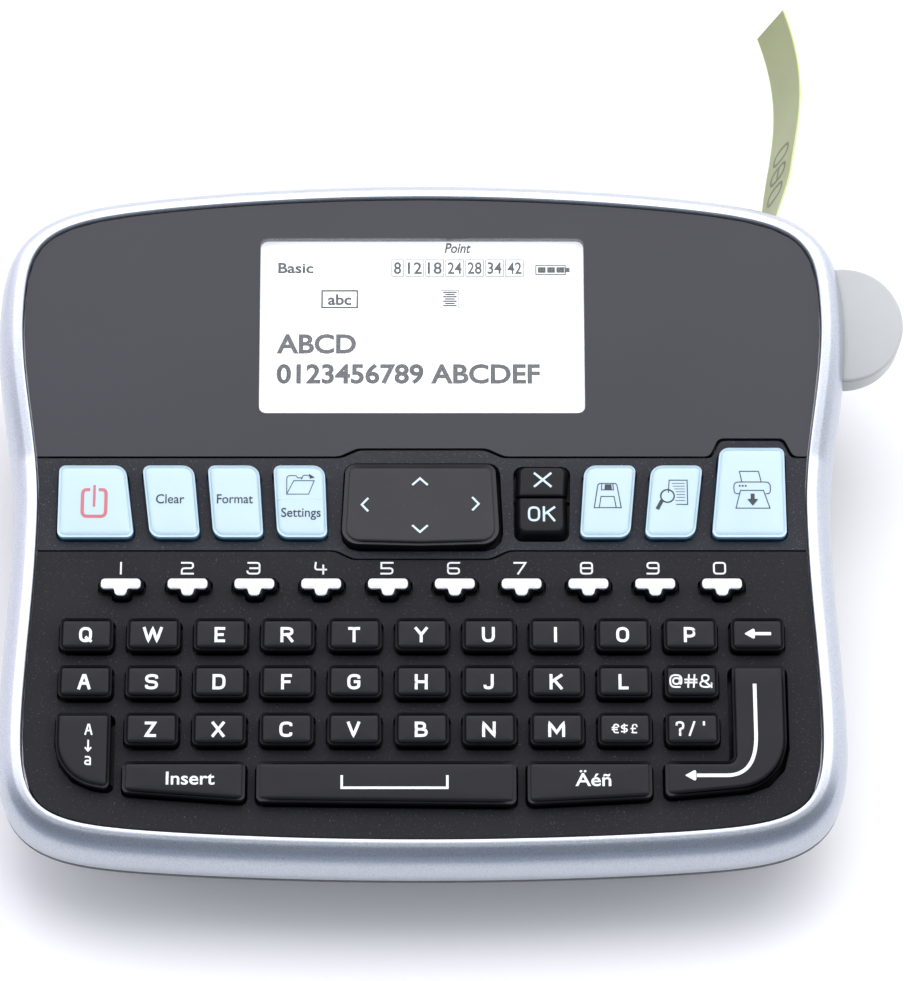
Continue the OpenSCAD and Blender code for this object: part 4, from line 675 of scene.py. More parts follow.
def keyCap(key, height, edge, crown, flare=board["flare"], heart=None, grow=0.0, skirt=board["lipTop"] - 0.02,
           upper=None, rise=lambda v: 0 * v, **steps):
    # rings: the outline at the height of the top, the outline at the panel, then up the sloping
    # side, round a quarter-circle edge of radius edge and over a top that is crown higher at its
    # heart. rise raises the front, skirt is the depth of the point that closes the underside, and
    # upper is the outline of the top where the sides don't all slope alike. A known fault, kept so
    # that the shapes stay: the first ring belongs at the skirt's depth, not at the top's height
    middle = np.asarray(key[0], float).mean(0) if heart is None else np.asarray(heart, float)
    outline = lambda inset: keyLine(upper, inset - flare, **steps) if upper else keyLine(key, inset - grow, **steps)
    rings = [(outline(0.0), 0.0)]
    for t in np.linspace(0, 1, 7):
        a = t * np.pi / 2
        rings.append((outline(flare - edge * 0.2 + edge * (1 - math.cos(a))), -edge * (1 - math.sin(a))))
    last = rings[-1][0]
    rings += [(middle + (last - middle) * f, crown * (1 - f * f)) for f in 1 - np.linspace(0, 1, 9)[1:-1]]
    made = [onKeys(*line.T, dip + (height + rise(line[:, 1]))) for line, dip in rings]
    made.insert(1, onKeys(*keyLine(key, -grow, **steps).T, 0.0))
    low, high = onKeys(*middle, skirt), onKeys(*middle, height + rise(middle[1]) + crown)
    return outward(ringParts(made, low[None], high[None]))


lipLow, lipHigh = board["lipTop"] - board["lipT"], board["lipTop"]
reach = board["gap"] + board["lip"]


def lipPart(line, low=lipLow, high=lipHigh):  # a flat collar under the panel
    middle = line.mean(0)
    narrow = middle + (line - middle) * 0.99
    rings = [onKeys(*shape.T, w) for shape, w in ((narrow, low), (line, low + 0.1), (line, high - 0.1), (narrow, high))]
    return outward(ringParts(rings, onKeys(*middle, low)[None], onKeys(*middle, high)[None]))


def keyPiece(name, caps, lip, finish="black_keys", ending="_cap"):      # one or more caps on one collar
    return makePiece(name + ending, joined(caps + [lipPart(lip)]), [finishes[finish]], name, finish, [name], 50)


def boardKey(name, key, seat=None, crown=board["crown"], heart=None):   # a key of the keyboard; its seat may be wider
    cap = keyCap(key, board["keyH"], board["edge"], crown, heart=heart, grow=board["grow"])
    keyPiece(name, [cap], keyLine(seat or key, -reach))


def letterRow(name, r, first, last):          # the caps of one row, joined by a bar
    b = board
    caps = [keyCap(letterKey(i, r), b["keyH"], b["edge"], b["crown"], grow=b["grow"]) for i in range(first, last + 1)]
    left, right = columnU(first), columnU(last)
    bar = boxKey((left + right) / 2, rowV(r), right - left + b["keyW"], b["keyD"], 0.3)
    keyPiece(name, caps, keyLine(bar, -reach, side=12), ending="_caps")


def stackedKey(name, key, upper, low, high):  # half of the pair in the strip, its top smaller than its foot
    lip = boxKey(strip["pair"], (low + high) / 2, strip["width"] + 2 * reach, high - low, 0.3)
    cap = keyCap(key, strip["height"], strip["stackEdge"], strip["stackCrown"], flare=0.0, upper=upper)
    keyPiece(name, [cap], keyLine(lip, 0))


letterRow("top_letter_row", 0, 0, 9)
letterRow("home_letter_row", 1, 0, 9)
letterRow("bottom_letter_row", 2, 1, 9)
boardKey("backspace_key", letterKey(10, 0))
for name, key in lowKeys.items():             # the two end keys have caps a little slimmer than their seats
    isEnter = name == "enter_key"
    boardKey(name, slimKeys.get(name, key), key, 0.0 if isEnter else board["crown"], enterHeart if isEnter else None)
for name, key in stripKeys.items():
    cap = keyCap(key, strip["height"], strip["edge"], strip["crown"], flare=strip["flare"], grow=strip["grow"])
    keyPiece(name, [cap], keyLine(key, -reach), "blue_keys")
stackedKey("cancel_key", cancelKey, cancelTop, cancelLow, pairTop + reach)
stackedKey("ok_key", okKey, okTop, pairLow - reach, okHigh)


def navPad():                                 # tapered cap, its flange and the ridge that it rocks on
    n = nav
    cap = keyCap(navKey, n["rear"], n["edge"], 0.0, flare=n["flare"], skirt=n["skirt"],
                 rise=lambda v: navSlope * (n["top"] - v), side=9)
    flange = lipPart(keyLine(navKey, -0.9), n["flangeLow"], n["flangeHigh"])
    a = np.linspace(0, 2 * np.pi, 32, endpoint=False)
    half, r, v, w = n["ridgeHalf"], n["ridgeR"], n["ridgeV"], n["flangeLow"]
    rings = [onKeys(u, v + s * np.cos(a), w + s * np.sin(a))
             for u, s in ((-half, r - 0.1), (0.1 - half, r), (half - 0.1, r), (half, r - 0.1))]
    ridge = outward(ringParts(rings, onKeys(-half, v, w)[None], onKeys(half, v, w)[None]))
    makePiece("nav_pad_cap", joined([cap, flange, ridge]), [finishes["nav"]], "nav_pad", "black_keys", ["nav_pad"], 50)


def digitPiece(i):                            # a black body with a smaller white top let into it
    d, key, name = digit, digitKey(i), "digit_%d_key" % ((i + 1) % 10)
    u, v = digitU(i), d["v"]
    body = keyCap(key, board["keyH"] - d["sink"], d["edge"], 0.0, flare=d["flare"], heart=(u, v - d["heart"]),
                  grow=board["grow"], arc=5, side=4)
    seat = boxKey(u, v - d["depth"] / 2, 2 * d["half"] + 2 * reach, d["depth"] + 2 * reach, 0.3)
    keyPiece(name, [body], keyLine(seat, 0), ending="_body")
    u, high, low, tip = u - d["topAside"], v - 0.35, v - 2.35, v - 3.75
    top = ([[u - 3.9, low], [u - 1.35, low], [u - 0.95, tip], [u + 0.95, tip], [u + 1.35, low], [u + 3.9, low],
            [u + 3.9, high], [u - 3.9, high]], [0.75, 0.4, 0.75, 0.75, 0.4, 0.75, 0.75, 0.75])
    white = keyCap(top, board["keyH"] + d["topLift"], d["topEdge"], 0.0, flare=d["topFlare"], heart=(u, v - d["heart"]),
                   skirt=board["keyH"] - d["topFoot"], arc=5, side=4)
    makePiece(name + "_top", white, [finishes["digit_keys"]], name, "digit_keys", (), 50)


navPad()
for i in range(10):
    digitPiece(i)
print("keys ready")
sheet = dict(t=0.10, lift=0.035)              # a print is a thin closed sheet, mostly sunk in its surface


def wordPart(text, size, weight, width, shear=0.0):
    # type turned into a mesh, centred on its own box; weight thickens its strokes
    curve = bpy.data.curves.new("words", "FONT")
    curve.body, curve.size, curve.offset, curve.shear = text, size, weight, shear
    curve.extrude, curve.resolution_u = sheet["t"] / 2, 4
    holder = bpy.data.objects.new("words", curve)
    bpy.context.scene.collection.objects.link(holder)
    mesh = bpy.data.meshes.new_from_object(holder.evaluated_get(bpy.context.evaluated_depsgraph_get()))
    points, corners = np.empty(len(mesh.vertices) * 3), np.empty(len(mesh.loops), np.int32)
    starts = np.empty(len(mesh.polygons), np.int32)
    mesh.vertices.foreach_get("co", points)
    mesh.loops.foreach_get("vertex_index", corners)
    mesh.polygons.foreach_get("loop_start", starts)
    bpy.data.objects.remove(holder)
    bpy.data.meshes.remove(mesh)
    keys, back = np.unique(np.round(points.reshape(-1, 3), 5), axis=0, return_inverse=True)
    faces = [f.tolist() for f in np.split(back.ravel()[corners], starts[1:])]
    low, high = keys.min(0), keys.max(0)
    keys[:, :2] -= (low + high)[:2] / 2
    keys[:, 0] *= width / (high[0] - low[0])
    return keys, [f for f in faces if len(set(f)) == len(f)]


def softened(points, radii, steps=5):         # corners with a radius become small curves
    p, made = [np.asarray(q, float) for q in points], []
    for i, q in enumerate(p):
        r = radii[i]
        if not r:
            made.append(q[None])
            continue
        a, b = p[i - 1], p[(i + 1) % len(p)]
        start = q + unit(a - q) * min(r, np.linalg.norm(a - q) * 0.5)
        end = q + unit(b - q) * min(r, np.linalg.norm(b - q) * 0.5)
        t = np.linspace(0, 1, steps + 1)[:, None]
        made.append((1 - t) ** 2 * start + 2 * t * (1 - t) * q + t * t * end)
    return np.vstack(made)


def strokePart(points, width, closed=False):
    # a flat band along a line, its sides joined in mitres no longer than 1.7 half widths
    p = np.asarray(points, float)
    pairs = zip(p, np.roll(p, -1, 0) if closed else p[1:])
    count = lambda a, b: int(np.ceil(np.linalg.norm(b - a) / 0.6))       # steps no longer than 0.6
    spans = [a + (b - a) * np.linspace(0, 1, 1 + count(a, b))[:-1, None] for a, b in pairs]
    p = np.vstack(spans + ([] if closed else [p[-1:]]))
    after, before = np.roll(p, -1, 0) - p, p - np.roll(p, 1, 0)
    if not closed:
        after[-1], before[0] = before[-1], after[0]
    after /= np.linalg.norm(after, axis=1, keepdims=True)
    before /= np.linalg.norm(before, axis=1, keepdims=True)
    across = np.stack([-(after + before)[:, 1], (after + before)[:, 0]], -1)
    across /= np.maximum(np.linalg.norm(across, axis=1, keepdims=True), 1e-6)
    straight = np.stack([-after[:, 1], after[:, 0]], -1)
    side = across / np.maximum((across * straight).sum(1, keepdims=True), 0.59) * width / 2
    h = np.full((len(p), 1), sheet["t"] / 2)
    rings = np.stack([np.hstack([p + s * side, s * t * h]) for s, t in ((1, -1), (-1, 1), (-1, -1), (1, 1))], 1)
    return outward(ringParts(rings, loop=True)) if closed else capped(rings)


def fillPart(points):                         # a filled flat shape
    p = np.asarray(points, float)
    return capped([np.column_stack([p, np.full(len(p), z)]) for z in (-sheet["t"] / 2, sheet["t"] / 2)])


# strokes on a grid: letters a to m across, digits 0 to 8 up; r rounds a corner, o leaves an end
# short of its corner and c closes the line
strokes = {"A": "a0 f8 h8 m0,c3 k3", "B": "a4 a8 k8r k4r c,a0 a4 m4r m0r c", "C": "m6o m8r a8r a0r m0r m2o",
           "D": "a0 a8 m8r m0r c", "E": "m8 a8 a0 m0,a4 k4", "F": "a0 a8 m8,a4 k4", "G": "m6o m8r a8r a0r m0r m4 g4o",
           "H": "a0 a8,m0 m8,a4 m4", "I": "g0 g8", "J": "a2o a0r m0r m8", "K": "a0 a8,m8 b4,e5 m0", "L": "a8 a0 m0",
           "M": "a0 a8 g2 m8 m0", "N": "a0 a8 m0 m8", "O": "a0r a8r m8r m0r c", "P": "a0 a8 m8r m3r a3",
           "Q": "a0r a8r m8r m0r c,h2 m0", "R": "a0 a8 m8r m4r a4,g4 m0", "S": "m6o m8r a8r a4r m4r m0r a0r a2o",
           "T": "a8 m8,g0 g8", "U": "a8 a0r m0r m8", "V": "a8 g0 m8", "W": "a8 e0 i8 m0 q8", "X": "a0 m8,a8 m0",
           "Y": "a8 g4 m8,g4 g0", "Z": "a8 m8 a0 m0", "a": "b8 m8r m0 a0r a4r m4",
           "1": "g8 g0", "2": "a8 m8r m4r a4r a0 m0", "3": "a8 m8r m0r a0r,c4 m4", "4": "b8 a3r m3,j6 j0",
           "5": "m8 a8 a4 m4r m0r a0", "6": "m8 a8r a0r m0r m4r a4", "7": "a8 m8 e0", "8": "a8r m8r m0r a0r c,a4 m4",
           "9": "m4 a4r a8r m8r m0r a0", "0": "a0r a8r m8r m0r c",
           "@": "k2r d2r d6r k6r c,k6 k2r m2r m8r a8r a0r l0o", "#": "d0 e8,j0 k8,a3 m3,a5 m5",
           "&": "m3r m0r a0r a4r j4r j8r c8r c5 m0",
           "?": "a6o a8r m8r m4r g4r g2o,g0 g1", "/": "b0 l8", "'": "g6o g8", "€": "m8r d8r d0r m0,a3 k3,a5 k5",
           "$": "m7 a7r a4r m4r m1r a1,g0 g8", "£": "m8r e8r e0 a0 m0,b4 k4"}


def lettered(sign, wide, high, stroke, round=0.4):      # one sign of the grid above, as bands
    parts = []
    for line in strokes[sign].split(","):
        marks = line.split()
        closed = marks[-1] == "c"
        marks = marks[:-1] if closed else marks
        cells = max([12] + [ord(m[0]) - 97 for m in marks])
        sx, sy = (wide - stroke) / cells, (high - stroke) / 8
        points = [((ord(m[0]) - 97 - cells / 2) * sx, (int(m[1]) - 4) * sy) for m in marks]
        radii = [min(wide, high) * round * m.endswith("r") for m in marks]
        if not closed:                        # square ends reach the full height
            first, last = points[0], points[-1]
            points[0] = first if marks[0].endswith("o") else grownEnd(first, points[1], stroke)
            points[-1] = last if marks[-1].endswith("o") else grownEnd(last, points[-2], stroke)
        parts.append(strokePart(softened(points, radii), stroke, closed))
    return joined(parts)


def grownEnd(end, nextOne, stroke):           # an end moved on by half the stroke's width
    end = np.asarray(end, float)
    return end + unit(end - np.asarray(nextOne, float)) * stroke / 2


def layOn(part, plane, u, v, surface):        # lays a print on a surface: surface gives the depth at a place
    points, faces = part
    x, y = points[:, 0] + u, points[:, 1] + v
    return plane(x, y, surface(x, y) + points[:, 2] + sheet["lift"] - sheet["t"] / 2), faces


def flat(w): return lambda x, y: np.full(len(x), float(w))            # a surface of one depth


def capTop(key, height, crown):               # the depth of a cap's top, as a function of place
    c = np.asarray(key[0], float)
    middle, half = c.mean(0), (c.max(0) - c.min(0)) / 2 - 0.7
    def surface(x, y):
        f = np.clip(np.maximum(np.abs(x - middle[0]) / half[0], np.abs(y - middle[1]) / half[1]), 0, 1)
        return height + crown * (1 - f * f)
    return surface


def printPiece(name, parts, ink, body, slot):             # one ink of one body's print
    makePiece(name, joined(parts), [inks[ink]], body, slot, smooth=30)


letters = dict(high=3.15, stroke=0.58, wide=2.55, left=0.15, drop=0.2, shares={"/": 0.8, "'": 0.5, "?": 0.9},
               widths={"W": 3.9, "M": 3.3, "N": 2.65, "L": 1.95, "E": 2.1, "F": 2.1, "J": 2.0, "T": 2.35, "Z": 2.25,
                       "P": 2.35, "Y": 2.6})


def rowPrint(name, r, first, signs, trios=()):            # a letter on each key, then keys with three small signs
    parts = []
    def lay(part, column, aside, drop):
        surface = capTop(letterKey(column, r), board["keyH"], board["crown"])
        parts.append(layOn(part, onKeys, columnU(column) + aside - letters["left"], rowV(r) - drop, surface))
    for k, sign in enumerate(signs):
        wide = letters["widths"].get(sign, letters["wide"])
        lay(lettered(sign, wide, letters["high"], letters["stroke"]), first + k, 0, letters["drop"])
    for column, three, wide, high, stroke, pitch in trios:
        for k, sign in enumerate(three):
            lay(lettered(sign, wide * letters["shares"].get(sign, 1), high, stroke), column, (k - 1) * pitch, 0.05)
    printPiece(name + "_letters", parts, "white", name, "digit_keys")


rowPrint("top_letter_row", 0, 0, "QWERTYUIOP")
rowPrint("home_letter_row", 1, 0, "ASDFGHJKL", [(9, "@#&", 2.55, 2.8, 0.34, 2.95)])
rowPrint("bottom_letter_row", 2, 1, "ZXCVBNM", [(8, "€$£", 1.35, 1.95, 0.27, 1.8), (9, "?/'", 1.9, 3.0, 0.42, 2.35)])


def arrowHead(x, y, length, high):            # points left, its corners rounded
    corners = [(x, y), (x + length, y - high / 2), (x + length, y + high / 2)]
    return fillPart(roundedLine(corners, [0.12, 0.3, 0.3], 4, 3))


def placed(u, v, *parts): return [(part, u, v) for part in parts]      # several parts at one place


def keyPrint(name, marks, ink, key, height, crown, slot):             # marks: part and place, on top of one key
    surface = capTop(key, height, crown)
    printPiece(name + "_print", [layOn(part, onKeys, u, v, surface) for part, u, v in marks], ink, name, slot)


def boardPrint(name, marks, key=None, crown=board["crown"]):          # on a key of the keyboard
    keyPrint(name, marks, "white", key or lowKeys[name], board["keyH"], crown, "digit_keys")


def stripPrint(name, marks, ink="grey", slot="black_keys"):           # on a blue key of the strip
    keyPrint(name, marks, ink, stripKeys[name], strip["height"], strip["crown"], slot)


def pairPrint(name, marks, key):              # on one of the stacked pair
    keyPrint(name, marks, "pale", key, strip["height"], strip["stackCrown"], "blue_keys")


arrow = [strokePart([(-0.9, 0), (2.65, 0)], 0.66), arrowHead(-2.65, 0, 2.1, 2.5)]
boardPrint("backspace_key", placed(columnU(10), rowV(0), *arrow), letterKey(10, 0))
boardPrint("insert_key", [(wordPart("Insert", 3.7, 0.05, 9.5), -45.2, -68.2)])
boardPrint("accent_key", [(wordPart("Äéñ", 3.7, 0.05, 7.0), 33.4, -68.2)])
boardPrint("space_key", [(strokePart([(-10.3, 2.55), (-10.3, 0), (10.3, 0), (10.3, 2.55)], 0.5), -5.35, -70.15)])
arrow = [strokePart([(0, 1.15), (0, -1.0)], 0.33), strokePart([(-0.62, -0.4), (0, -1.1), (0.62, -0.4)], 0.33)]
signs = [(lettered("A", 1.55, 2.3, 0.33), -65.3, -58.2), (lettered("a", 1.3, 1.85, 0.33), -65.3, -64.6)]
boardPrint("capitals_key", signs + placed(-65.3, -61.5, *arrow))
bend = softened([(65.4, -48.8), (65.4, -67.6), (53.6, -67.6)], [0, 8.4, 0], 14)
boardPrint("enter_key", placed(0, 0, strokePart(bend, 0.72), arrowHead(51.3, -67.6, 2.2, 2.5)), crown=0.0)
numerals = [layOn(lettered(sign, 2.6, 2.65, 0.36, 0.24), onKeys, digitU(i) - 0.35, -23.7, flat(0))
            for i, sign in enumerate("1234567890")]      # thin squared numerals on the panel behind the digit keys
printPiece("digit_numerals", numerals, "white", "housing", "digit_keys")
fine, finest = 0.19, 0.16                     # widths of the icons' lines
stripPrint("clear_key", [(wordPart("Clear", 2.8, 0.02, 5.7), -50.4, -9.6)])
stripPrint("format_key", [(wordPart("Format", 2.8, 0.02, 7.2), -37.45, -9.6)])
folder = [strokePart([(-2.7, -2.0), (-2.7, 1.6), (-2.3, 2.0), (-0.9, 2.0), (-0.5, 1.5), (0.5, 1.5)], finest),
          strokePart([(-2.7, -2.0), (1.7, -2.0), (2.8, 0.9), (-1.3, 0.9)], finest, True),
          strokePart(softened([(0.2, 1.2), (0.6, 2.2), (2.0, 1.9)], [0, 1, 0]), finest),
          fillPart([(2.9, 1.6), (1.7, 2.4), (1.9, 1.3)])]
stripPrint("settings_key", [(wordPart("Settings", 2.75, 0.02, 7.9), -24.2, -12.8)] + placed(-24.4, -6.6, *folder))
keyTop = capTop(stripKeys["settings_key"], strip["height"], strip["crown"])
printPiece("settings_key_line", [layOn(strokePart([(-4.4, 0), (4.4, 0)], 0.22), onKeys, -24.6, -9.5, keyTop)], "pale",
           "settings_key", "blue_keys")
ringLine = softened([(-0.85, 2.75), (-2.35, 2.75), (-2.35, -2.95), (2.35, -2.95), (2.35, 2.75), (0.85, 2.75)],
                    [0, 1.1, 1.1, 1.1, 1.1, 0])
powerSign = [strokePart(ringLine, 0.68), strokePart([(0, 3.75), (0, -0.9)], 0.52)]
stripPrint("power_key", placed(-65.6, -10.4, *powerSign), "red", "blue_keys")
signs = [(lettered("O", 2.45, 3.2, 0.45), 22.4, -12.8), (lettered("K", 2.5, 3.2, 0.45), 25.4, -12.8)]
pairPrint("ok_key", signs, okKey)
cross = [strokePart([(-1.75, -h), (1.75, h)], 0.45) for h in (1.5, -1.5)]
pairPrint("cancel_key", placed(24.2, -5.5, *cross), cancelKey)
chevrons = ((-0.4, -5.6, [(-1.55, -0.75), (0, 0.75), (1.55, -0.75)]),
            (-0.4, -16.2, [(-1.55, 0.75), (0, -0.75), (1.55, 0.75)]),
            (-11.4, -10.8, [(0.65, 1.5), (-0.65, 0), (0.65, -1.5)]),
            (10.7, -10.6, [(-0.65, 1.5), (0.65, 0), (-0.65, -1.5)]))
navTop = lambda x, y: nav["rear"] + navSlope * (nav["top"] - y)
chevrons = [layOn(strokePart(line, 0.42), onKeys, u, v, navTop) for u, v, line in chevrons]
printPiece("nav_pad_print", chevrons, "pale", "nav_pad", "blue_keys")
diskette = [strokePart([(-2.7, -2.6), (-1.9, 2.3), (-1.5, 2.6), (1.6, 2.6), (1.9, 2.3), (2.7, -2.6)], fine, True),
            strokePart([(-1.7, -2.6), (-1.3, -0.2), (1.3, -0.2), (1.7, -2.6)], fine),
            strokePart([(-1.1, 2.6), (-1.2, 1.2), (1.2, 1.2), (1.1, 2.6)], fine),
            fillPart([(-0.6, 1.3), (0.9, 1.3), (0.8, 2.4), (-0.5, 2.4)])]
stripPrint("save_key", placed(37.15, -8.9, *diskette))
lens = [(1.35 * math.cos(a), 1.35 * math.sin(a)) for a in np.linspace(0, 2 * np.pi, 25)[:-1]]
textRows = ((-0.2, 2.6), (0.0, 2.0), (0.3, 1.4), (0.6, 0.8), (0.7, 0.2), (0.7, -0.4), (0.4, -1.1))
page = [(strokePart([(-0.9, 0.6), (-0.7, 3.3), (2.9, 3.3), (2.9, -1.9), (0.6, -1.9)], fine), 50.25, -8.9),
        (strokePart(lens, 0.3, True), 49.15, -9.0), (strokePart([(-1.9, -3.2), (-0.9, -1.3)], 0.75), 48.95, -8.6)]
stripPrint("preview_key", page + placed(50.25, -8.9, *[strokePart([(a, h), (2.4, h)], 0.12) for a, h in textRows]))
printer = [strokePart([(-2.1, 1.6), (-2.5, 3.9), (1.3, 3.9), (1.8, 1.6)], fine),
           strokePart(softened([(-2.6, -0.9), (-3.7, -0.9), (-3.7, 1.6), (3.6, 1.6), (3.6, -0.9), (2.6, -0.9)],
                               [0, 1, 1, 1, 1, 0]), fine),
           strokePart([(-2.4, -0.2), (2.2, -0.2), (3.4, -4.0), (-3.4, -4.0)], fine, True),
           fillPart([(-0.4, -0.9), (0.4, -0.9), (0.4, -2.1), (1.1, -2.1), (0, -3.5), (-1.1, -2.1), (-0.4, -2.1)])]
lamps = [fillPart([(a, 0.6), (a + 0.35, 0.6), (a + 0.35, 0.95), (a, 0.95)]) for a in (-2.7, -2.1, -1.5)]
stripPrint("print_key", placed(66.2, -7.6, *printer, *lamps))


def screenPrint():                            # menu words, size boxes, icons and two lines of text
    up = lambda part, u, v: layOn(part, onDisplay, u, v + 0.8, flat(-2.28))
    box = lambda u0, u1, v0, v1, w: up(strokePart([(u0, v0), (u1, v0), (u1, v1), (u0, v1)], w, True), 0, 0)
    block = lambda u0, u1, v0, v1: up(fillPart([(u0, v0), (u1, v0), (u1, v1), (u0, v1)]), 0, 0)
    word = lambda u, v, *sizes: up(wordPart(*sizes), u, v)
    small = [word(-25.8, 40.3, "Basic", 3.1, 0.07, 7.2), word(7.3, 44.6, "Point", 3.0, 0.055, 5.4, 0.25)]
    frames = []
    for k, number in enumerate(("8", "12", "18", "24", "28", "34", "42")):
        u0, u1 = (-6.3, -3.7) if k == 0 else (-3.4 + (k - 1) * 4.08, 0.45 + (k - 1) * 4.08)
        frames.append(box(u0 + 0.1, u1 - 0.1, 38.5, 42.1, 0.13))
        small.append(word((u0 + u1) / 2, 40.3, number, 3.5, 0.06, 1.5 if k == 0 else 2.9))
    small += [box(23.3, 29.3, 38.9, 40.9, 0.22), block(29.4, 30.2, 39.4, 40.4)]
    small += [block(a, a + 1.6, 39.3, 40.5) for a in (23.7, 25.6, 27.5)]
    small += [box(-20.4, -13.2, 31.8, 35.4, 0.34), word(-16.8, 33.5, "abc", 3.2, 0.08, 4.8)]
    lines = enumerate([1.4, 1.0] * 3 + [1.4])
    small += [up(strokePart([(-w, 0), (w, 0)], 0.3), 5.7, 32.2 + k * 0.48) for k, w in lines]
    frames.append(box(3.9, 7.5, 31.7, 35.5, 0.13))
    frames += [word(-21.5, 24.0, "ABCD", 5.6, 0.16, 16.2), word(-2.8, 17.6, "0123456789 ABCDEF", 5.6, 0.16, 53.5)]
    printPiece("screen_small_marks", small, "dark", "housing", "display")
    printPiece("screen_frames_and_text", frames, "screen", "housing", "display")


screenPrint()
print("prints ready")


def boxPart(low, high, r):                    # a box with rounded upright edges
    cx, cy = (low[0] + high[0]) / 2, (low[1] + high[1]) / 2
    line = keyLine(boxKey(cx, cy, high[0] - low[0], high[1] - low[1], r), 0, arc=5, side=1)
    return capped([np.column_stack([line, np.full(len(line), z)]) for z in (low[2], high[2])])


def buttonPiece():                            # a thick disc, thinner inside the body, with its blade arm
    b = button
    a = np.linspace(0, 2 * np.pi, 121)[:-1]
    low, high, r, tip = b["low"], -b["drop"], b["round"], b["topRound"]
    rows = [(r, low)] + [(r * (1 - math.sin(t)), low + r * (1 - math.cos(t))) for t in np.linspace(0.3, np.pi / 2, 5)]
    rows += [(0, high - 1.05), (0.35, high - 0.98), (0.35, high - 0.72), (0, high - 0.65)]       # a fine groove
    rows += [(tip * (1 - math.cos(t)), high - tip * (1 - math.sin(t))) for t in np.linspace(0, np.pi / 2, 6)]
    rings = []
    for inset, w in rows:
        share = b["r"] * (1 - inset / b["r"])
        rings.append(onDisplay(b["x"] + share * np.cos(a), b["v"] + share * np.sin(a), w))
    fixed = [finishes["button_plastic"]], "cutter", "button_plastic"
    disc = makePiece("cutter_button_disc", capped(rings), *fixed, ["cutter_button"], 35)
    u, v = np.array([[-60, -40], [b["x"] - b["innerFrom"], -40], [b["x"] - b["innerFrom"], 90], [-60, 90]], float).T
    cutAway(disc, [cutter("cut_h", capped([onDisplay(u, v, w) for w in (b["low"] - 3, -b["drop"] - b["t"] / 2)]))])
    armX, armY, armTop = 77.6, cutY - 1.5, float(faceZ(cutY - 1.5)) - b["drop"] - b["t"] / 2
    arm = makePiece("cutter_arm", boxPart((armX, armY, 25.5), (armX + 2.4, armY + 3, armTop), 0.25), *fixed, (), 35)
    cutAway(arm, [boxCutter("cut_i", (70, cutY - 0.27, 20), (100, cutY + 0.27, 32.02))])


spring = dict(r=1.4, wire=0.3, turns=5, length=8.0)


def springPiece():                            # a wire carried along a helix, the button's return spring, drawn at rest
    s = spring
    turn = np.linspace(0, 2 * np.pi * s["turns"], 24 * s["turns"] + 1)[:, None]
    around = np.linspace(0, 2 * np.pi, 9)[None, :-1]
    fixedX = 1000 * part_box("cutter_spring")[0][0]
    reach = s["r"] + s["wire"] * np.cos(around)
    u = fixedX + s["wire"] + s["length"] * turn / turn[-1] + s["wire"] * np.sin(around)
    v, w = button["v"] + reach * np.cos(turn), reach * np.sin(turn) - button["drop"] - button["t"] / 4
    part, steel = capped(onDisplay(u, v, w)), "spring_steel"
    piece = makePiece("return_spring", part, [finishes[steel]], "housing", steel, ["cutter_spring"], 60)
    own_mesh(piece)


buttonPiece()
springPiece()
tape = dict(x=74.5, z=12.0, width=12.0, t=0.3, lean=24.4, leanShare=7 / 18, slotY=66.0, mouthY=29.0, mouthX=51.0,
            bend=2.5, length=70, printFrom=0.335, printPitch=0.085, printAcross=0.48,
            curve=[(0, 0), (-6.0, 32.0), (8.3, 39.5), (-0.2, 70.6)])


def stripFrame(t, across):
    # places on the strip and the outward direction there, from the shares of its length and width
    p = np.array(tape["curve"], float) + [tape["x"], tape["slotY"]]
    t, across = t[:, None], np.asarray(across)
    centre = (1 - t) ** 3 * p[0] + 3 * t * (1 - t) ** 2 * p[1] + 3 * t * t * (1 - t) * p[2] + t ** 3 * p[3]
    way = (1 - t) ** 2 * (p[1] - p[0]) + 2 * t * (1 - t) * (p[2] - p[1]) + t * t * (p[3] - p[2])
    way /= np.linalg.norm(way, axis=1, keepdims=True)
    lean = np.radians(tape["lean"]) * ease(t[:, 0] / tape["leanShare"])
    w = across * tape["width"]
    place = np.column_stack([centre[:, 0] + w * np.sin(lean), centre[:, 1], tape["z"] + w * np.cos(lean)])
    out = np.column_stack([way[:, 1] * np.cos(lean), -way[:, 0], -way[:, 1] * np.sin(lean)])
    return place, out / np.linalg.norm(out, axis=1, keepdims=True)


def innerTape():                              # the tape between the cassette's mouth and the cutter
    b, x, y = tape["bend"], tape["x"], tape["mouthY"]
    a = np.linspace(0, np.pi / 2, 9)
    corner = np.column_stack([x - b + b * np.sin(a), y + b - b * np.cos(a)])
    line = np.vstack([[[tape["mouthX"], y]], corner, [[x, cutY - 0.6]]])
    run = np.gradient(line, axis=0)
    run /= np.linalg.norm(run, axis=1, keepdims=True)
    side = np.stack([run[:, 1], -run[:, 0]], -1) * tape["t"] / 2
    low, high = (np.full((len(line), 1), z) for z in (tape["z"], tape["z"] + tape["width"]))
    sides = ((-1, low), (1, low), (1, high), (-1, high))
    return capped(np.stack([np.hstack([line + s * side, z]) for s, z in sides], 1))


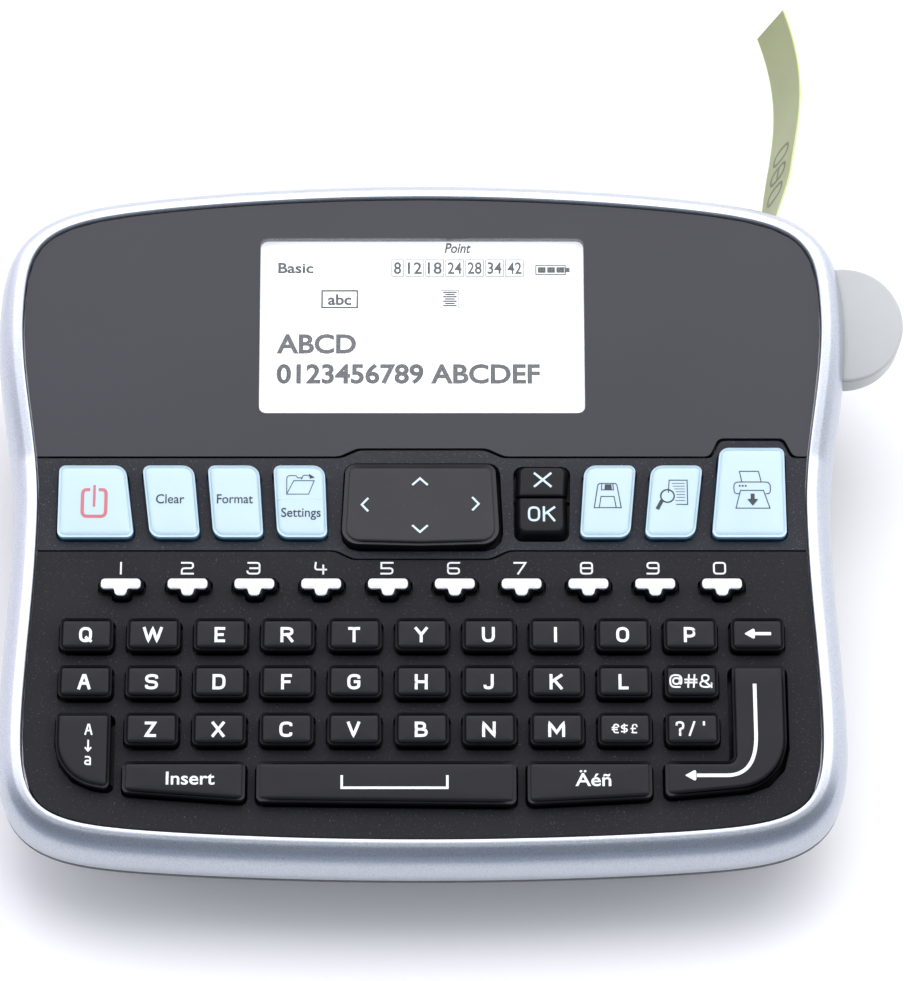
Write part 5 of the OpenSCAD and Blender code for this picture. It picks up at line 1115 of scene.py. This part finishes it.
def stripPiece():                             # the printed strip, from the cutter through the slot to its free end
    across = np.linspace(0, 1, 9)
    rings = []
    for y in np.linspace(cutY + 0.6, tape["slotY"], 8)[:-1]:
        place = np.column_stack([np.full(9, tape["x"]), np.full(9, y), tape["z"] + across * tape["width"]])
        rings.append((place, np.tile([1.0, 0, 0], (9, 1))))
    rings += [stripFrame(np.full(9, t), across) for t in np.linspace(0, 1, 81)]
    solid = np.array([np.vstack([p - o * tape["t"] / 2, (p + o * tape["t"] / 2)[::-1]]) for p, o in rings])
    outer, inner, slot = capped(solid), innerTape(), "label_tape"
    piece = makePiece("label_tape", joined([outer, inner]), [finishes[slot]], "housing", slot, ["label_strip"], 60)
    # its own UV runs across the tape, for the painted edge highlights
    share = np.full(len(outer[0]) + len(inner[0]), 0.5)
    share[:solid.shape[0] * solid.shape[1]] = np.tile(np.concatenate([across, across[::-1]]), len(solid))
    corner = np.empty(len(piece.data.loops), np.int32)
    piece.data.loops.foreach_get("vertex_index", corner)
    layer = piece.data.uv_layers.new(name="tape")
    layer.data.foreach_set("uv", np.column_stack([share[corner], np.zeros(len(corner))]).ravel())


def tapePrint():                              # plain faded digits along the tape
    parts = []
    for k, sign in enumerate("080"):
        points, faces = lettered(sign, 4.6, 6.8, 0.75, 0.5)
        points[:, 0] += points[:, 1] * 0.15
        t = tape["printFrom"] + tape["printPitch"] * k + points[:, 0] / tape["length"]
        place, out = stripFrame(t, tape["printAcross"] + points[:, 1] / tape["width"])
        parts.append((place - out * (tape["t"] / 2 + 0.02 + points[:, 2:3] * 0.3), faces))
    printPiece("label_print", parts, "faded", "housing", "label_tape")


stripPiece()
tapePrint()
print("cutter and label ready")
for row in frame["record"]["subparts"]:       # finishes for the frame's own nodes
    kept = frame["nodes"][row["node"]]
    kept.data.materials.clear()
    # the key strip takes its painted-lighter copy of the panel plastic here, not its slot's finish
    kept.data.materials.append(finishes.get(row["node"], finishes[row["material_slot"]]))
# the sky is bright from behind and the sides, dim blue-grey from the front and straight above
studio = dict(floor=0.86, floorRough=0.3, left=(1.3, 1.25, 1.42), right=(1.3, 1.3, 1.4), above=(0.10, 0.13, 0.19),
              front=(0.25, 0.31, 0.42), across=(-0.12, 0.12), turn=(-0.03, 0.15), rise=(0.25, 0.65))
lights = {"key panel": dict(size=(0.9, 0.6), power=3.0, place=(0.08, 0.16, 0.78), aim=(0, 0, 0.02)),
          "rear reflector": dict(size=(3.8, 2.4), power=43, place=(-0.05, 0.9, 1.1), aim=(-0.05, 0, 0), sheen=True),
          "front fill": dict(size=(1.3, 0.4), power=2.3, place=(0.0, -0.75, 0.42), aim=(0, -0.08, 0)),
          "left panel": dict(size=(0.5, 0.4), power=2.3, place=(-0.75, -0.15, 0.35), aim=(0, -0.05, 0)),
          "right panel": dict(size=(0.5, 0.4), power=2.3, place=(0.75, -0.1, 0.35), aim=(0, -0.05, 0))}
view = dict(lens=154.4, sensor=36, shift=0.0306, near=0.05, far=20, place=(0, -0.4159, 0.7691), tilt=30)


def floorPiece():                             # a wide pale table top
    mesh = bpy.data.meshes.new("floor")
    mesh.from_pydata([(-4, -3, 0), (4, -3, 0), (4, 5, 0), (-4, 5, 0)], [], [(0, 1, 2, 3)])
    made = Finish("pale floor")
    cloud, tone = made.noise(4, 2), studio["floor"]
    made.wear(Base_Color=made.mix(cloud, (tone,) * 3, (tone + 0.02,) * 3),
              Roughness=cloud * 0.04 + studio["floorRough"])
    mesh.materials.append(made.material)
    floor = bpy.data.objects.new("floor", mesh)
    bpy.context.scene.collection.objects.link(floor)


def softLight(name, size, power, place, aim, sheen=False):            # sheen: seen in reflections alone
    light = bpy.data.lights.new(name, "AREA")
    light.shape, light.size, light.size_y, light.energy = "RECTANGLE", *size, power
    lamp = bpy.data.objects.new(name, light)
    bpy.context.scene.collection.objects.link(lamp)
    lamp.location = place
    lamp.rotation_euler = Vector(np.subtract(aim, place)).to_track_quat("-Z", "Y").to_euler()
    lamp.visible_camera = False
    lamp.visible_glossy, lamp.visible_diffuse = sheen, not sheen


def studioSky(world):                         # four tones, mixed by the direction on the sky
    world.use_nodes = True
    sky = Tree(world.node_tree)
    x, y, z = sky.apart(sky.node("ShaderNodeTexCoord"))
    bright = sky.mix(x.rise(*studio["across"]), studio["left"], studio["right"])
    dim = sky.mix(z.rise(*studio["rise"]), studio["front"], studio["above"])
    sky.feed(sky.nodes["Background"].inputs[0], sky.mix(y.rise(*studio["turn"]), dim, bright))


floorPiece()
for name, light in lights.items():
    softLight(name, **light)
scene = bpy.context.scene
scene.world = bpy.data.worlds.new("studio")
studioSky(scene.world)
scene.view_settings.view_transform = "Standard"
camera = bpy.data.cameras.new("camera")
camera.lens, camera.sensor_width, camera.shift_x = view["lens"], view["sensor"], view["shift"]
camera.clip_start, camera.clip_end = view["near"], view["far"]
viewer = bpy.data.objects.new("camera", camera)
viewer.location, viewer.rotation_euler = view["place"], (rad(view["tilt"]), 0, 0)
scene.collection.objects.link(viewer)
scene.camera = viewer
print("pieces:", len(shown), "triangles:", sum(len(p.data.loops) - 2 * len(p.data.polygons) for p in shown))
